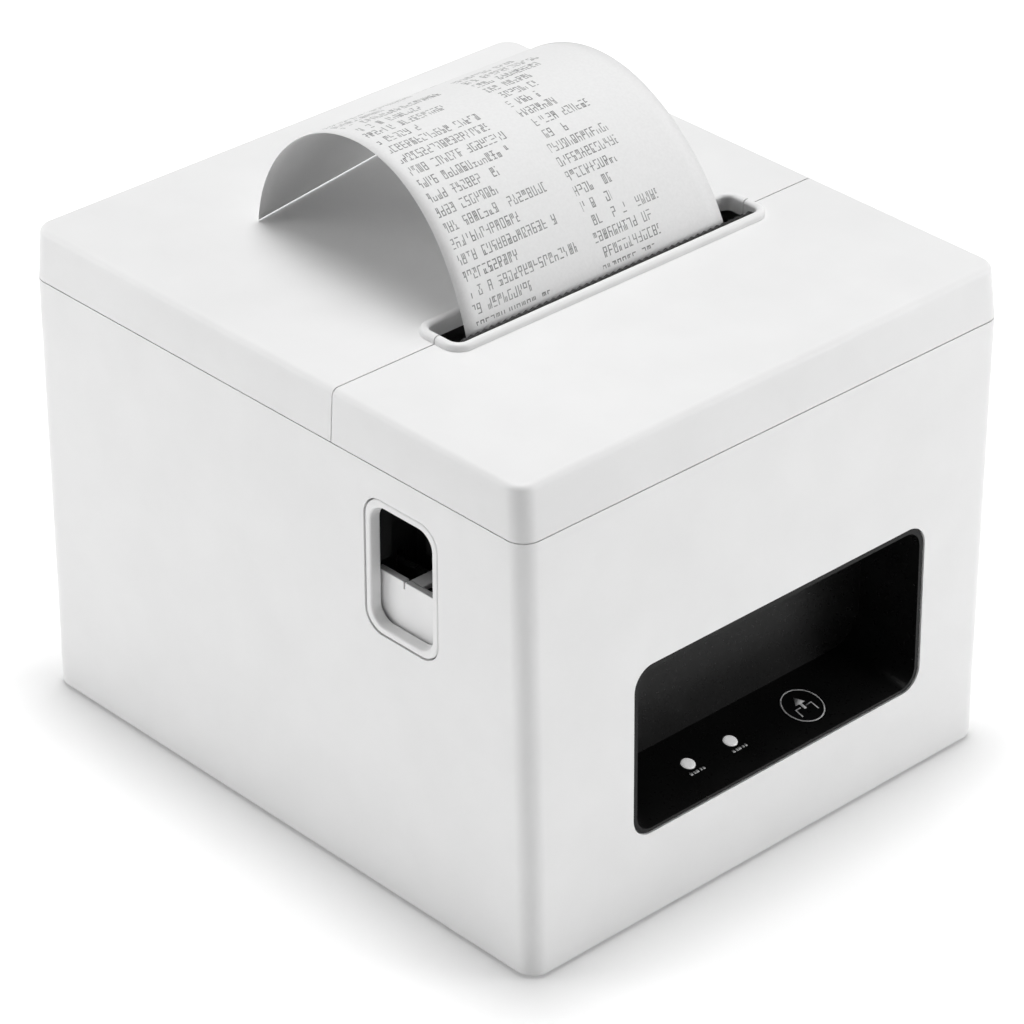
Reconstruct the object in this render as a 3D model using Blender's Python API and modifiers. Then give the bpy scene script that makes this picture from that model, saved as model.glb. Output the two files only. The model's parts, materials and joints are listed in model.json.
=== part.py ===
"""Desktop receipt printer: hinged top cover, platen, pivoting print head, guillotine cutter and paper roll.

Every length below is in millimetres and every angle in degrees; the helpers convert to metres and radians.
X runs to the printer's right, Y to its back, Z up. The origin is on the table under the middle of the part.
"""
import math
from collections import namedtuple

import bmesh
import bpy
from mathutils import Matrix, Vector

MM = 0.001
GAP = 0.3                 # clearance left between pieces that touch in the real machine

# --- casing -----------------------------------------------------------------------------------------------
FOOT_DROP = 1.0           # height of the casing's lower edge above the table
SEAM_Z = 109.8            # top edge of the main housing
TOP_Z = 122.7             # top face of both covers
HALF_SEAM = 74.5          # half width at the seam
HALF_BASE = 72.5          # half width at the lower edge
FRONT_SEAM = -80.2
FRONT_BASE = -83.5
BACK = 80.6
CORNER_R = 4.7
WALL = 2.5
COVER_WALL = 2.4          # thickness of the covers
COVER_SIDE_LEAN = 0.5
COVER_FRONT_LEAN = 1.7
TOP_FILLET = 1.6
FILLET_STEPS = 4
SPLIT_Y = -21.3           # joint between the front and the rear cover
COVER_BOTTOM = SEAM_Z + GAP

# --- paper slot -------------------------------------------------------------------------------------------
SLOT_X = (-42.6, 51.0)
SLOT_Y = (-26.5, -16.2)
SLOT_R = 2.2
RIM_WALL = 2.1
RIM_TOP = TOP_Z + 1.7
RIM_ROUND = 0.7
RIM_STEPS = 2

# --- windows ----------------------------------------------------------------------------------------------
WINDOW_X = (-41.7, 51.0)
WINDOW_Z = (22.6, 66.1)
WINDOW_R = 5.5
BAY_LIP = 1.1
BAY_BACK_Y = -64.4
BAY_FLOOR_FRONT = 23.7
BAY_FLOOR_BACK = 28.0
BAY_WALL = 1.5
SIDE_Y = (-54.5, -31.2)
SIDE_Z = (68.1, 102.4)
SIDE_R = 5.5
LED_X = (-14.6, -1.1)
LED_Y = -72.8
LED_R = 1.45
BUTTON_X = 21.5
BUTTON_Y = -73.7
BUTTON_R = 5.4

# --- paper ------------------------------------------------------------------------------------------------
PAPER_X = (-38.25, 41.25)
PAPER_THICK = 0.2
ROLL_Y, ROLL_Z, ROLL_R = 36.0, 45.3, 31.0
CORE_R, CORE_HOLE_R = 8.0, 6.2
CUT_Z = (109.25, 110.8)   # free height between the web's end and the cut receipt
RECEIPT_SHIFT = 3.1       # sideways drift of the receipt from its root to its tip
# each arch edge is one cubic Bezier in the Y-Z plane: root, two handles, tip
LEFT_ARCH = ((-24.6, 123.2), (-7.1, 174.8), (43.1, 158.5), (47.1, 123.15))
RIGHT_ARCH = ((-24.5, 123.2), (-13.5, 144.2), (25.1, 172.7), (59.6, 123.15))

# --- paper drive ------------------------------------------------------------------------------------------
PLATEN_Y, PLATEN_Z, PLATEN_R = -14.6, 100.0, 4.9
SHAFT_R = 2.0
BUSHING_R = 4.0
FRAME_X = (-45.5, 48.5)   # outer faces of the mechanism frame's side plates
PLATE = 1.5
FRAME_Y = (-36.0, -5.0)
FRAME_Z = (52.0, 104.0)
GEAR_X = (50.0, 53.0)
MODULE = 0.5
BACKLASH = 0.12
PRESSURE = math.radians(20.0)
TEETH = {"platen_gear": 24, "idler_gear_upper": 40, "idler_gear_lower": 30, "feed_motor_pinion": 16}
IDLER_TURN = (270.0, 240.0, 250.0)   # direction from each gear's axis to the next one down the train
HEAD_TILT = 202.7         # direction from the platen axis to the heated line
HEAD_PIVOT = (-13.3, 74.5)
ARM_TIP = (-41.6, 79.4)

# --- cutter -----------------------------------------------------------------------------------------------
BLADE_Z = (109.6, 110.4)
BLADE_Y = (-58.0, -25.7)
RACK_MODULE = 0.75
RACK_TEETH = 16
RACK_LINE_X = 47.0        # pitch line of the blade's rack
CUTTER_PINION_Y = -46.0

# --- hinge ------------------------------------------------------------------------------------------------
HINGE_Y, HINGE_Z = 80.9, 110.0
KNUCKLE_R = 2.6
HINGE_PIN_R = 1.0
HOUSING_KNUCKLE = (40.0, 52.0)
COVER_KNUCKLE = (26.0, 39.6)

PAST = 3.0                # how far a cutter reaches past the surfaces that it cuts
TRIM = 1.0                # extra height of a drafted shell before its edges are cut level
BESIDE = (-100.0, 100.0)  # a span wider and deeper than the printer
CURVE_STEPS = 6
ROUND_STEPS = 28
SMALL_STEPS = 16          # sides of a small round hole or pin
WELD = 0.001              # distance under which two points are one
FLAT = 0.001              # angle in radians under which two faces are one
EDGE_ANGLE = 32.0         # an edge sharper than this stays sharp in the shading

for old in list(bpy.data.objects):
    bpy.data.objects.remove(old, do_unlink=True)

PARTS = bpy.data.collections.new("receipt_printer")
CUTTERS = bpy.data.collections.new("cutters")
bpy.context.scene.collection.children.link(PARTS)
bpy.context.scene.collection.children.link(CUTTERS)

WHITE = ((0.86, 0.86, 0.87), 0.45, 0.0)
BLACK_GLOSS = ((0.012, 0.012, 0.013), 0.12, 0.0)
BLACK = ((0.02, 0.02, 0.022), 0.5, 0.0)
STEEL = ((0.62, 0.63, 0.65), 0.3, 1.0)
ALUMINIUM = ((0.75, 0.76, 0.78), 0.4, 1.0)
RUBBER = ((0.03, 0.03, 0.03), 0.8, 0.0)
NYLON = ((0.82, 0.8, 0.74), 0.5, 0.0)
PAPER = ((0.93, 0.93, 0.92), 0.7, 0.0)
CARD = ((0.5, 0.4, 0.28), 0.85, 0.0)
BOARD = ((0.03, 0.22, 0.1), 0.5, 0.0)
CERAMIC = ((0.75, 0.72, 0.66), 0.3, 0.0)
LENS = ((0.85, 0.87, 0.88), 0.2, 0.0)


# --- helpers ----------------------------------------------------------------------------------------------
def give_look(thing, look):
    """Own material for a piece, or the wire display of a piece that only cuts or is joined."""
    if not look:
        thing.hide_render = True
        thing.display_type = "WIRE"
        return
    colour, rough, metal = look
    material = bpy.data.materials.new(thing.name)
    material.use_nodes = True
    shader = material.node_tree.nodes["Principled BSDF"]
    shader.inputs["Base Color"].default_value = (*colour, 1.0)
    shader.inputs["Roughness"].default_value = rough
    shader.inputs["Metallic"].default_value = metal
    thing.data.materials.append(material)


def keep(name, mesh, look, origin=(0.0, 0.0, 0.0), collection=PARTS):
    """Object for a mesh that is laid out in place; its origin goes to the given point."""
    base = Vector(origin) * MM
    mesh.transform(Matrix.Translation(-base))
    mesh.name = name
    thing = bpy.data.objects.new(name, mesh)
    thing.location = base
    collection.objects.link(thing)
    give_look(thing, look)
    return thing


def keep_bmesh(name, work, look, **keys):
    bmesh.ops.recalc_face_normals(work, faces=work.faces)
    mesh = bpy.data.meshes.new(name)
    work.to_mesh(mesh)
    work.free()
    return keep(name, mesh, look, **keys)


def mesh_of(curve):
    """Mesh of a curve as a bmesh, its caps welded to its sides and its flat faces whole."""
    holder = bpy.data.objects.new("holder", curve)
    CUTTERS.objects.link(holder)
    evaluated = holder.evaluated_get(bpy.context.evaluated_depsgraph_get())
    mesh = bpy.data.meshes.new_from_object(evaluated)
    work = bmesh.new()
    work.from_mesh(mesh)
    bmesh.ops.remove_doubles(work, verts=work.verts, dist=WELD * MM)
    bmesh.ops.dissolve_limit(work, angle_limit=FLAT, verts=[], edges=work.edges)
    bpy.data.objects.remove(holder, do_unlink=True)
    bpy.data.meshes.remove(mesh)
    bpy.data.curves.remove(curve)
    return work


def poly_line(curve, points, cyclic):
    spline = curve.splines.new("POLY")
    spline.points.add(len(points) - 1)
    for target, point in zip(spline.points, points):
        target.co = (*(Vector(point) * MM), 1.0)
    spline.use_cyclic_u = cyclic


def loft(name, rings, look, caps=(True, True), **keys):
    """Surface through equal-length rings of points, closed at the ends that have a cap."""
    work = bmesh.new()
    rows = [[work.verts.new(Vector(point) * MM) for point in ring] for ring in rings]
    for low, high in zip(rows, rows[1:]):
        for i in range(len(low)):
            j = (i + 1) % len(low)
            work.faces.new((low[i], low[j], high[j], high[i]))
    for row, capped in zip((rows[0], rows[-1]), caps):
        if capped:
            work.faces.new(row)
    return keep_bmesh(name, work, look, **keys)


def shell(thing, thickness, offset=-1.0):
    """Turns an open surface into a wall, which grows inwards unless the offset says otherwise."""
    wall = thing.modifiers.new("wall", "SOLIDIFY")
    wall.thickness = thickness * MM
    wall.offset = offset
    wall.use_even_offset = True


def trim(thing, low, high):
    """Cuts a shell level at both heights, because a drafted wall's own edges slant."""
    for name, zs in (("below", (low - 2 * PAST, low)), ("above", (high, high + 2 * PAST))):
        cut(thing, hidden(box, f"{thing.name}_{name}", BESIDE, BESIDE, zs))


def round_level(thing, height, radius, steps):
    """Rounds the sharp edges of a piece that lie at one height."""
    work = bmesh.new()
    work.from_mesh(thing.data)
    weight = work.edges.layers.float.new("bevel_weight_edge")
    level = height * MM - thing.location.z
    for edge in work.edges:
        lies_there = all(abs(vert.co.z - level) < WELD * MM for vert in edge.verts)
        if lies_there and edge.calc_face_angle(0.0) > math.radians(EDGE_ANGLE):
            edge[weight] = 1.0
    work.to_mesh(thing.data)
    work.free()
    rounding = thing.modifiers.new("rounding", "BEVEL")
    rounding.limit_method = "WEIGHT"
    rounding.width = radius * MM
    rounding.segments = steps


def place(axis, u, v, w):
    """Point whose outline coordinates are (u, v) and whose distance along the axis is w."""
    return Vector({"X": (w, u, v), "Y": (u, w, v), "Z": (u, v, w)}[axis])


def standing(axis, u, v, middle):
    """Matrix that stands a shape drawn about the origin in X and Y along the axis, at (u, v)."""
    first, second = place(axis, 1, 0, 0), place(axis, 0, 1, 0)
    turn = Matrix((first, second, first.cross(second))).transposed().to_4x4()
    return Matrix.Translation(place(axis, u, v, middle) * MM) @ turn


def prism(name, outline, axis, low, high, look, **keys):
    """Flat outline given a thickness along an axis."""
    curve = bpy.data.curves.new(name, "CURVE")
    curve.dimensions = "2D"
    curve.fill_mode = "BOTH"
    curve.extrude = (high - low) / 2 * MM
    poly_line(curve, [(u, v, 0.0) for u, v in outline], True)
    work = mesh_of(curve)
    bmesh.ops.transform(work, matrix=standing(axis, 0.0, 0.0, (low + high) / 2), verts=work.verts)
    return keep_bmesh(name, work, look, **keys)


def box(name, xs, ys, zs, look, **keys):
    low, high = (Vector(corner) * MM for corner in zip(xs, ys, zs))
    matrix = Matrix.Translation((low + high) / 2) @ Matrix.Diagonal(high - low).to_4x4()
    work = bmesh.new()
    bmesh.ops.create_cube(work, size=1.0, matrix=matrix)
    return keep_bmesh(name, work, look, **keys)


def cylinder(name, matrix, radius, length, look, steps=ROUND_STEPS, **keys):
    work = bmesh.new()
    bmesh.ops.create_cone(work, cap_ends=True, segments=steps, radius1=radius * MM, radius2=radius * MM,
                          depth=length * MM, matrix=matrix)
    return keep_bmesh(name, work, look, **keys)


def rod(name, axis, centre, radius, low, high, look, **keys):
    return cylinder(name, standing(axis, *centre, (low + high) / 2), radius, high - low, look, **keys)


def turned(name, centre, profile, look, steps):
    """Solid of revolution about an upright axis; the profile runs down its outer side."""
    x, y = centre
    work = bmesh.new()
    points = [work.verts.new(Vector((x + radius, y, z)) * MM) for radius, z in profile]
    for above, below in zip(points, points[1:]):
        work.edges.new((above, below))
    thing = keep_bmesh(name, work, look, origin=(x, y, 0.0))
    turning = thing.modifiers.new("turning", "SCREW")
    turning.steps = turning.render_steps = steps
    turning.use_merge_vertices = True
    turning.merge_threshold = WELD * MM
    turning.use_smooth_shade = True
    return thing


def circle(u, v, radius, steps=ROUND_STEPS):
    angles = [2 * math.pi * i / steps for i in range(steps)]
    return [(u + radius * math.cos(a), v + radius * math.sin(a)) for a in angles]


def rounded(u0, u1, v0, v1, radii, steps=CURVE_STEPS):
    """Rounded rectangle; radii is one number or four, from the low-low corner anticlockwise."""
    if isinstance(radii, (int, float)):
        radii = (radii,) * 4
    centres = ((u0, v0, 1, 1), (u1, v0, -1, 1), (u1, v1, -1, -1), (u0, v1, 1, -1))
    outline = []
    for k, (u, v, su, sv) in enumerate(centres):
        r = radii[k]
        for i in range(steps + 1):
            a = math.pi + (k + i / steps) * math.pi / 2
            outline.append((u + su * r + r * math.cos(a), v + sv * r + r * math.sin(a)))
    return outline


def boolean(target, operation, operands):
    for operand in operands:
        step = target.modifiers.new(f"{operation.lower()}_{operand.name}", "BOOLEAN")
        step.operation = operation
        step.solver = "EXACT"
        step.object = operand


def cut(target, *operands):
    boolean(target, "DIFFERENCE", operands)


def join(target, *operands):
    boolean(target, "UNION", operands)


def hidden(maker, name, *args, **keys):
    """Cutter or add-on piece, kept out of the printer's own collection."""
    return maker(name, *args, None, collection=CUTTERS, **keys)


def smooth(thing, angle=EDGE_ANGLE):
    for face in thing.data.polygons:
        face.use_smooth = True
    thing.data.set_sharp_from_angle(angle=math.radians(angle))


def climb(z):
    """Share of the way up the housing, 0 at its lower edge and 1 at the seam."""
    return (z - FOOT_DROP) / (SEAM_Z - FOOT_DROP)


def front_face_y(z):
    """Y of the housing's leaning front face at height z."""
    return FRONT_BASE + (FRONT_SEAM - FRONT_BASE) * climb(z)


def left_face_x(z):
    """X of the housing's drafted left face at height z."""
    return -HALF_BASE - (HALF_SEAM - HALF_BASE) * climb(z)


def beside(sign, pair):
    """The pair of X values on the left (-1) or the right (1), lowest first."""
    return sorted(sign * x for x in pair)


def floor_z(y):
    """Height of the control panel's sloping floor."""
    front = front_face_y(BAY_FLOOR_FRONT)
    return BAY_FLOOR_FRONT + (BAY_FLOOR_BACK - BAY_FLOOR_FRONT) * (y - front) / (BAY_BACK_Y - front)


# --- main housing -----------------------------------------------------------------------------------------
BOSS_X, BOSS_YS, BOSS_Z = 66.0, (-76.4, 73.4), (4.0, 20.0)
BOSS_R, BOSS_HOLE_R, BOSS_HOLE_TOP = 4.6, 1.7, 15.0
BOSSES = [(sign * BOSS_X, y) for sign in (-1, 1) for y in BOSS_YS]
BACK_CUT = (BACK - WALL - PAST, BACK + PAST)
KNUCKLE_FOOT_Z = 100.0
KNUCKLE_POCKET_Z = 106.2
PIN_PLAY = 0.15           # radial play of a pin or a small round piece in its hole
PIN_SHORT = 0.4           # how far a hinge pin's outer end stays inside its knuckle

Port = namedtuple("Port", "x width height depth look")
PORT_Z = 9.0
PORTS = {
    "power_inlet": Port(-54.0, 13.0, 12.5, 14.0, BLACK),
    "usb_port": Port(-31.0, 12.2, 11.2, 16.0, STEEL),
    "network_port": Port(-8.0, 16.0, 13.5, 18.0, STEEL),
    "cash_drawer_port": Port(17.0, 13.4, 12.8, 16.0, BLACK),
}
SWITCH_X, SWITCH_Z = 55.0, 45.0
SWITCH_W, SWITCH_H = 15.0, 21.0


def housing_ring(z):
    half = -left_face_x(z)
    return [(x, y, z) for x, y in rounded(-half, half, front_face_y(z), BACK, CORNER_R)]


def back_window(name, x, z, width, height):
    """Cutter through the back wall for a fitting of this size, with its clearance."""
    half_w, half_h = width / 2 + GAP, height / 2 + GAP
    return hidden(box, name, (x - half_w, x + half_w), BACK_CUT, (z - half_h, z + half_h))


def hinge_rod(name, radius, near, far):
    """Round piece on the cover's hinge line."""
    return hidden(rod, name, "X", (HINGE_Y, HINGE_Z), radius, near, far)


housing = loft("main_housing", [housing_ring(FOOT_DROP - TRIM), housing_ring(SEAM_Z + TRIM)], WHITE,
               caps=(False, False))
shell(housing, WALL)
trim(housing, FOOT_DROP, SEAM_Z)
for i, centre in enumerate(BOSSES):
    join(housing, hidden(rod, f"boss_{i}", "Z", centre, BOSS_R, *BOSS_Z))
    cut(housing, hidden(rod, f"boss_hole_{i}", "Z", centre, BOSS_HOLE_R, BOSS_Z[0] - PAST, BOSS_HOLE_TOP,
                        steps=SMALL_STEPS))
front_window = rounded(*WINDOW_X, *WINDOW_Z, WINDOW_R)
side_window = rounded(*SIDE_Y, *SIDE_Z, SIDE_R)
cut(
    housing,
    hidden(prism, "front_window", front_window, "Y", FRONT_BASE - PAST, FRONT_SEAM + WALL + PAST),
    hidden(prism, "side_window", side_window, "X", -HALF_SEAM - PAST, -HALF_BASE + WALL + PAST),
    back_window("switch_window", SWITCH_X, SWITCH_Z, SWITCH_W, SWITCH_H),
)
for name, port in PORTS.items():
    cut(housing, back_window(f"{name}_window", port.x, PORT_Z + port.height / 2, port.width, port.height))

HINGE_SIDES = (("left", -1), ("right", 1))
KNUCKLE_FOOT = [
    (BACK - 1.6, KNUCKLE_FOOT_Z),
    (BACK + 0.2, KNUCKLE_FOOT_Z),
    (HINGE_Y + KNUCKLE_R - 0.2, HINGE_Z - 1.4),
    (BACK - 1.6, HINGE_Z),
]
for side, sign in HINGE_SIDES:
    near, far = beside(sign, HOUSING_KNUCKLE)
    join(housing,
         hinge_rod(f"housing_knuckle_{side}", KNUCKLE_R, near, far),
         hidden(prism, f"knuckle_foot_{side}", KNUCKLE_FOOT, "X", near, far))
    cut(housing, hinge_rod(f"knuckle_bore_{side}", HINGE_PIN_R + PIN_PLAY, near - PAST, far + PAST))
    near, far = beside(sign, COVER_KNUCKLE)
    cut(housing, hidden(box, f"knuckle_pocket_{side}", (near - GAP, far + GAP), BACK_CUT,
                        (KNUCKLE_POCKET_Z, SEAM_Z + PAST)))
    near, far = beside(sign, (COVER_KNUCKLE[0] + PIN_SHORT, HOUSING_KNUCKLE[1] - PIN_SHORT))
    smooth(rod(f"hinge_pin_{side}", "X", (HINGE_Y, HINGE_Z), HINGE_PIN_R, near, far, STEEL))
smooth(housing)

# --- base plate, screws and feet --------------------------------------------------------------------------
PLATE_Z = (1.3, 3.7)
BASE_X, BASE_Y, BASE_R = 69.5, (-80.4, 77.6), 2.6
FOOT_R, FOOT_TOP, FOOT_EDGE = 7.0, 2.2, 0.5
FEET = [(sign * 54.0, y) for sign in (-1, 1) for y in (-66.0, 62.0)]
FOOT_PROFILE = ((0.0, FOOT_TOP), (FOOT_R, FOOT_TOP), (FOOT_R, FOOT_EDGE), (FOOT_R - FOOT_EDGE, 0.0), (0.0, 0.0))
HEAD_R, HEAD_Z = 2.7, (1.4, 2.1)      # head of a base screw
SHANK_R, SHANK_TOP = 1.3, 11.8
SCREW_PROFILE = ((0.0, SHANK_TOP), (0.9, SHANK_TOP), (SHANK_R, SHANK_TOP - 0.8), (SHANK_R, HEAD_Z[1]),
                 (HEAD_R, HEAD_Z[1]), (HEAD_R, HEAD_Z[0] + 0.3), (HEAD_R - 0.1, HEAD_Z[0]), (0.0, HEAD_Z[0]))
CROSS_LONG, CROSS_THIN, CROSS_TOP = 1.5, 0.35, 1.9

base = prism("base_plate", rounded(-BASE_X, BASE_X, *BASE_Y, BASE_R), "Z", *PLATE_Z, BLACK)
for i, centre in enumerate(FEET):
    cut(base, hidden(rod, f"foot_recess_{i}", "Z", centre, FOOT_R + GAP, PLATE_Z[0] - PAST, FOOT_TOP + GAP))
    turned(f"rubber_foot_{i + 1}", centre, FOOT_PROFILE, RUBBER, ROUND_STEPS)
for i, (x, y) in enumerate(BOSSES):
    below = PLATE_Z[0] - PAST
    cut(base,
        hidden(rod, f"screw_hole_{i}", "Z", (x, y), SHANK_R + 0.5, below, PLATE_Z[1] + PAST, steps=SMALL_STEPS),
        hidden(rod, f"screw_sink_{i}", "Z", (x, y), HEAD_R + GAP, below, HEAD_Z[1] + GAP))
    screw = turned(f"base_screw_{i + 1}", (x, y), SCREW_PROFILE, STEEL, SMALL_STEPS)
    for k, (half_x, half_y) in enumerate(((CROSS_LONG, CROSS_THIN), (CROSS_THIN, CROSS_LONG))):
        cut(screw, hidden(box, f"cross_{i}_{k}", (x - half_x, x + half_x), (y - half_y, y + half_y),
                          (below, CROSS_TOP)))

# --- top covers -------------------------------------------------------------------------------------------
TEAR_INSET = 1.7          # room between the slot's ends and the tear bar
RIM_FOOT = TOP_Z - COVER_WALL + 0.4


def cover_ring(z):
    rise = (z - COVER_BOTTOM) / (TOP_Z - COVER_BOTTOM)
    side = HALF_SEAM - COVER_SIDE_LEAN * rise
    front, rear = FRONT_SEAM + COVER_FRONT_LEAN * rise, BACK - COVER_SIDE_LEAN * rise
    outline = rounded(-side, side, front, rear, CORNER_R)
    return [(x, y, z) for x, y in outline]


def make_cover(name, removed_y):
    """One of the two covers: the whole lid shell with the other half cut away."""
    cover = loft(name, [cover_ring(COVER_BOTTOM - TRIM), cover_ring(TOP_Z)], WHITE, caps=(False, True))
    shell(cover, COVER_WALL)
    round_level(cover, TOP_Z, TOP_FILLET, FILLET_STEPS)
    cut(cover, hidden(box, f"{name}_below", BESIDE, BESIDE, (COVER_BOTTOM - PAST, COVER_BOTTOM)))
    rim_outline = rounded(SLOT_X[0] - RIM_WALL, SLOT_X[1] + RIM_WALL,
                          SLOT_Y[0] - RIM_WALL, SLOT_Y[1] + RIM_WALL, SLOT_R + RIM_WALL)
    rim = hidden(prism, f"{name}_rim", rim_outline, "Z", RIM_FOOT, RIM_TOP)
    round_level(rim, RIM_TOP, RIM_ROUND, RIM_STEPS)
    join(cover, rim)
    slot = rounded(*SLOT_X, *SLOT_Y, SLOT_R)
    cut(cover,
        hidden(prism, f"{name}_slot", slot, "Z", COVER_BOTTOM, RIM_TOP + PAST),
        hidden(box, f"{name}_other_half", BESIDE, removed_y, (COVER_BOTTOM - PAST, RIM_TOP + PAST)))
    return cover


front_cover = make_cover("front_top_cover", (SPLIT_Y - GAP / 2, BACK + PAST))
smooth(front_cover)
rear_cover = make_cover("rear_cover", (FRONT_SEAM - PAST, SPLIT_Y + GAP / 2))
for side, sign in HINGE_SIDES:
    near, far = beside(sign, HOUSING_KNUCKLE)
    cut(rear_cover, hinge_rod(f"cover_clearance_{side}", KNUCKLE_R + GAP + 0.2, near - GAP, far + GAP))
    near, far = beside(sign, COVER_KNUCKLE)
    join(rear_cover, hinge_rod(f"cover_knuckle_{side}", KNUCKLE_R, near, far))
    cut(rear_cover, hinge_rod(f"cover_bore_{side}", HINGE_PIN_R + PIN_PLAY, near - PAST, far + PAST))
smooth(rear_cover)

TEAR_X = (SLOT_X[0] + TEAR_INSET, SLOT_X[1] - TEAR_INSET)
TEAR_Y = (SLOT_Y[0] + 0.25, SLOT_Y[0] + 1.05)
TEAR_FOOT, TEAR_ROOT, TEAR_TIP = 114.4, 122.3, 123.3     # the foot clears the cutter's rack
TEAR_TEETH = 44
tear_step = (TEAR_X[1] - TEAR_X[0]) / TEAR_TEETH
bar = [(TEAR_X[0], TEAR_FOOT), (TEAR_X[1], TEAR_FOOT)]
for k in range(TEAR_TEETH, 0, -1):
    x = TEAR_X[0] + k * tear_step
    bar += [(x, TEAR_ROOT), (x - tear_step / 2, TEAR_TIP)]
bar.append((TEAR_X[0], TEAR_ROOT))
prism("tear_bar", bar, "Y", *TEAR_Y, BLACK)

# --- control panel bay ------------------------------------------------------------------------------------
MOUTH_R = 4.6             # corner radius of the bay at its mouth and at its top
BACK_LOW_R = 8.6          # radius of the lower corners of its back wall
LED_ABOVE, LED_BELOW = 0.15, 6.5
BUTTON_PLAY, BUTTON_DEEP = 0.2, 2.0
STEM_R, STEM_DEEP = 1.6, 5.6
BOARD_BOX = ((-36.0, 45.0), (-80.0, -64.0), (12.6, 14.2))
BOARD_PART_HALF, BOARD_PART_Y, BOARD_SINK = 1.6, (LED_Y - 2.8, LED_Y + 0.8), 0.2
WINDOW_EDGE = (WINDOW_X[0] + GAP, WINDOW_X[1] - GAP, WINDOW_Z[0] + GAP, WINDOW_Z[1] - GAP)


def on_front(outline):
    """Points of an outline in X and Z laid on the housing's leaning front face."""
    return [(x, front_face_y(z) + GAP, z) for x, z in outline]


def bay_outline(grow, floor, low_r, top_r):
    """Outline of the bay inside its bright lip, grown by a wall where it is the outside."""
    return rounded(WINDOW_EDGE[0] + BAY_LIP - grow, WINDOW_EDGE[1] - BAY_LIP + grow, floor - grow,
                   WINDOW_EDGE[3] - BAY_LIP + grow * 0.8, (low_r, low_r, top_r, top_r))


def at_depth(outline, y):
    return [(x, y, z) for x, z in outline]


rear_outline = bay_outline(BAY_WALL, BAY_FLOOR_BACK, BACK_LOW_R + 0.4, MOUTH_R + 0.4)
bay_rear = at_depth(rear_outline, BAY_BACK_Y + BAY_WALL)
bay = loft("control_panel_bay", [on_front(rounded(*WINDOW_EDGE, WINDOW_R - GAP)), bay_rear], BLACK_GLOSS)
mouth = on_front(bay_outline(0.0, BAY_FLOOR_FRONT, MOUTH_R, MOUTH_R))
back = at_depth(bay_outline(0.0, BAY_FLOOR_BACK, BACK_LOW_R, MOUTH_R), BAY_BACK_Y)
lead = [Vector(near).lerp(Vector(far), -0.15) for near, far in zip(mouth, back)]   # runs out past the mouth
cut(bay, hidden(loft, "bay_inside", [lead, back]))
floor_tilt = math.atan2(BAY_FLOOR_BACK - BAY_FLOOR_FRONT, BAY_BACK_Y - front_face_y(BAY_FLOOR_FRONT))


def floor_rod(name, x, y, radius, above, below, look, **keys):
    """Rod standing square to the sloping floor, measured from its surface."""
    foot = Matrix.Translation(Vector((x, y, floor_z(y))) * MM)
    middle = Matrix.Translation((0.0, 0.0, (above - below) / 2 * MM))
    matrix = foot @ Matrix.Rotation(floor_tilt, 4, "X") @ middle
    return cylinder(name, matrix, radius, above + below, look, **keys)


for name, x in zip(("power", "status"), LED_X):
    cut(bay, hidden(floor_rod, f"{name}_hole", x, LED_Y, LED_R + PIN_PLAY, PAST, PAST + BAY_WALL))
    smooth(floor_rod(f"{name}_led_lens", x, LED_Y, LED_R, LED_ABOVE, LED_BELOW, LENS))
cut(bay, hidden(floor_rod, "button_hole", BUTTON_X, BUTTON_Y, BUTTON_R + BUTTON_PLAY, PAST, PAST + BAY_WALL))
button = floor_rod("feed_button", BUTTON_X, BUTTON_Y, BUTTON_R, 0.0, BUTTON_DEEP, BLACK_GLOSS,
                   origin=(BUTTON_X, BUTTON_Y, floor_z(BUTTON_Y)))
join(button, hidden(floor_rod, "button_stem", BUTTON_X, BUTTON_Y, STEM_R, 1.0 - BUTTON_DEEP, STEM_DEEP))
smooth(button)
smooth(bay)
board = box("panel_board", *BOARD_BOX, BOARD)
for i, (x, height) in enumerate(((LED_X[0], 3.4), (LED_X[1], 3.4), (BUTTON_X, 3.5))):
    foot = BOARD_BOX[2][1] - BOARD_SINK
    join(board, hidden(box, f"board_part_{i}", (x - BOARD_PART_HALF, x + BOARD_PART_HALF), BOARD_PART_Y,
                       (foot, foot + height)))

# --- side window, release lever ---------------------------------------------------------------------------
BEZEL_RING = 1.9          # width of the white ring, at the face
BEZEL_DEPTH = (0.1, 2.7)
BEZEL_FLARE = 0.7
GUIDE_X, GUIDE_Y, GUIDE_Z = (-70.9, -57.0), (-56.5, -29.5), (58.0, 105.0)
GUIDE_WALL = 1.4
RIB_Z = (84.0, 104.5)
ARM_SLOT = ((-64.2, -60.8), (GUIDE_Y[1] - PAST, GUIDE_Y[1] + PAST), (66.0, 83.0))
LEVER_X, LEVER_Y, LEVER_Z = (-70.6, -68.8), (-54.6, -31.4), (63.5, 82.0)
LEVER_PIVOT_Y = -42.0
NOTCH_Y, NOTCH_Z = (-40.4, -39.9), 80.2
TAB_THICK, TAB_REACH_X, TAB_FRONT = 1.2, -61.0, -44.4
FLANGE_X, FLANGE_THICK, FLANGE_Z = -65.5, 1.2, (72.0, 82.9)
OVERLAP = 0.4             # how far a joined piece reaches into the one that it joins


def side_ring(inset, depth):
    """Ring that follows the side window and the housing's drafted left face."""
    outline = rounded(SIDE_Y[0] + inset, SIDE_Y[1] - inset, SIDE_Z[0] + inset, SIDE_Z[1] - inset,
                      SIDE_R - inset * 0.6)
    return [(left_face_x(z) + depth, y, z) for y, z in outline]


bezel = loft("side_bezel", [side_ring(GAP, depth) for depth in BEZEL_DEPTH], WHITE)
bezel_inside = [side_ring(BEZEL_RING, BEZEL_DEPTH[0] - 0.6),
                side_ring(BEZEL_RING + BEZEL_FLARE, BEZEL_DEPTH[1] + 0.5)]
cut(bezel, hidden(loft, "bezel_inside", bezel_inside))
smooth(bezel)

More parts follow.
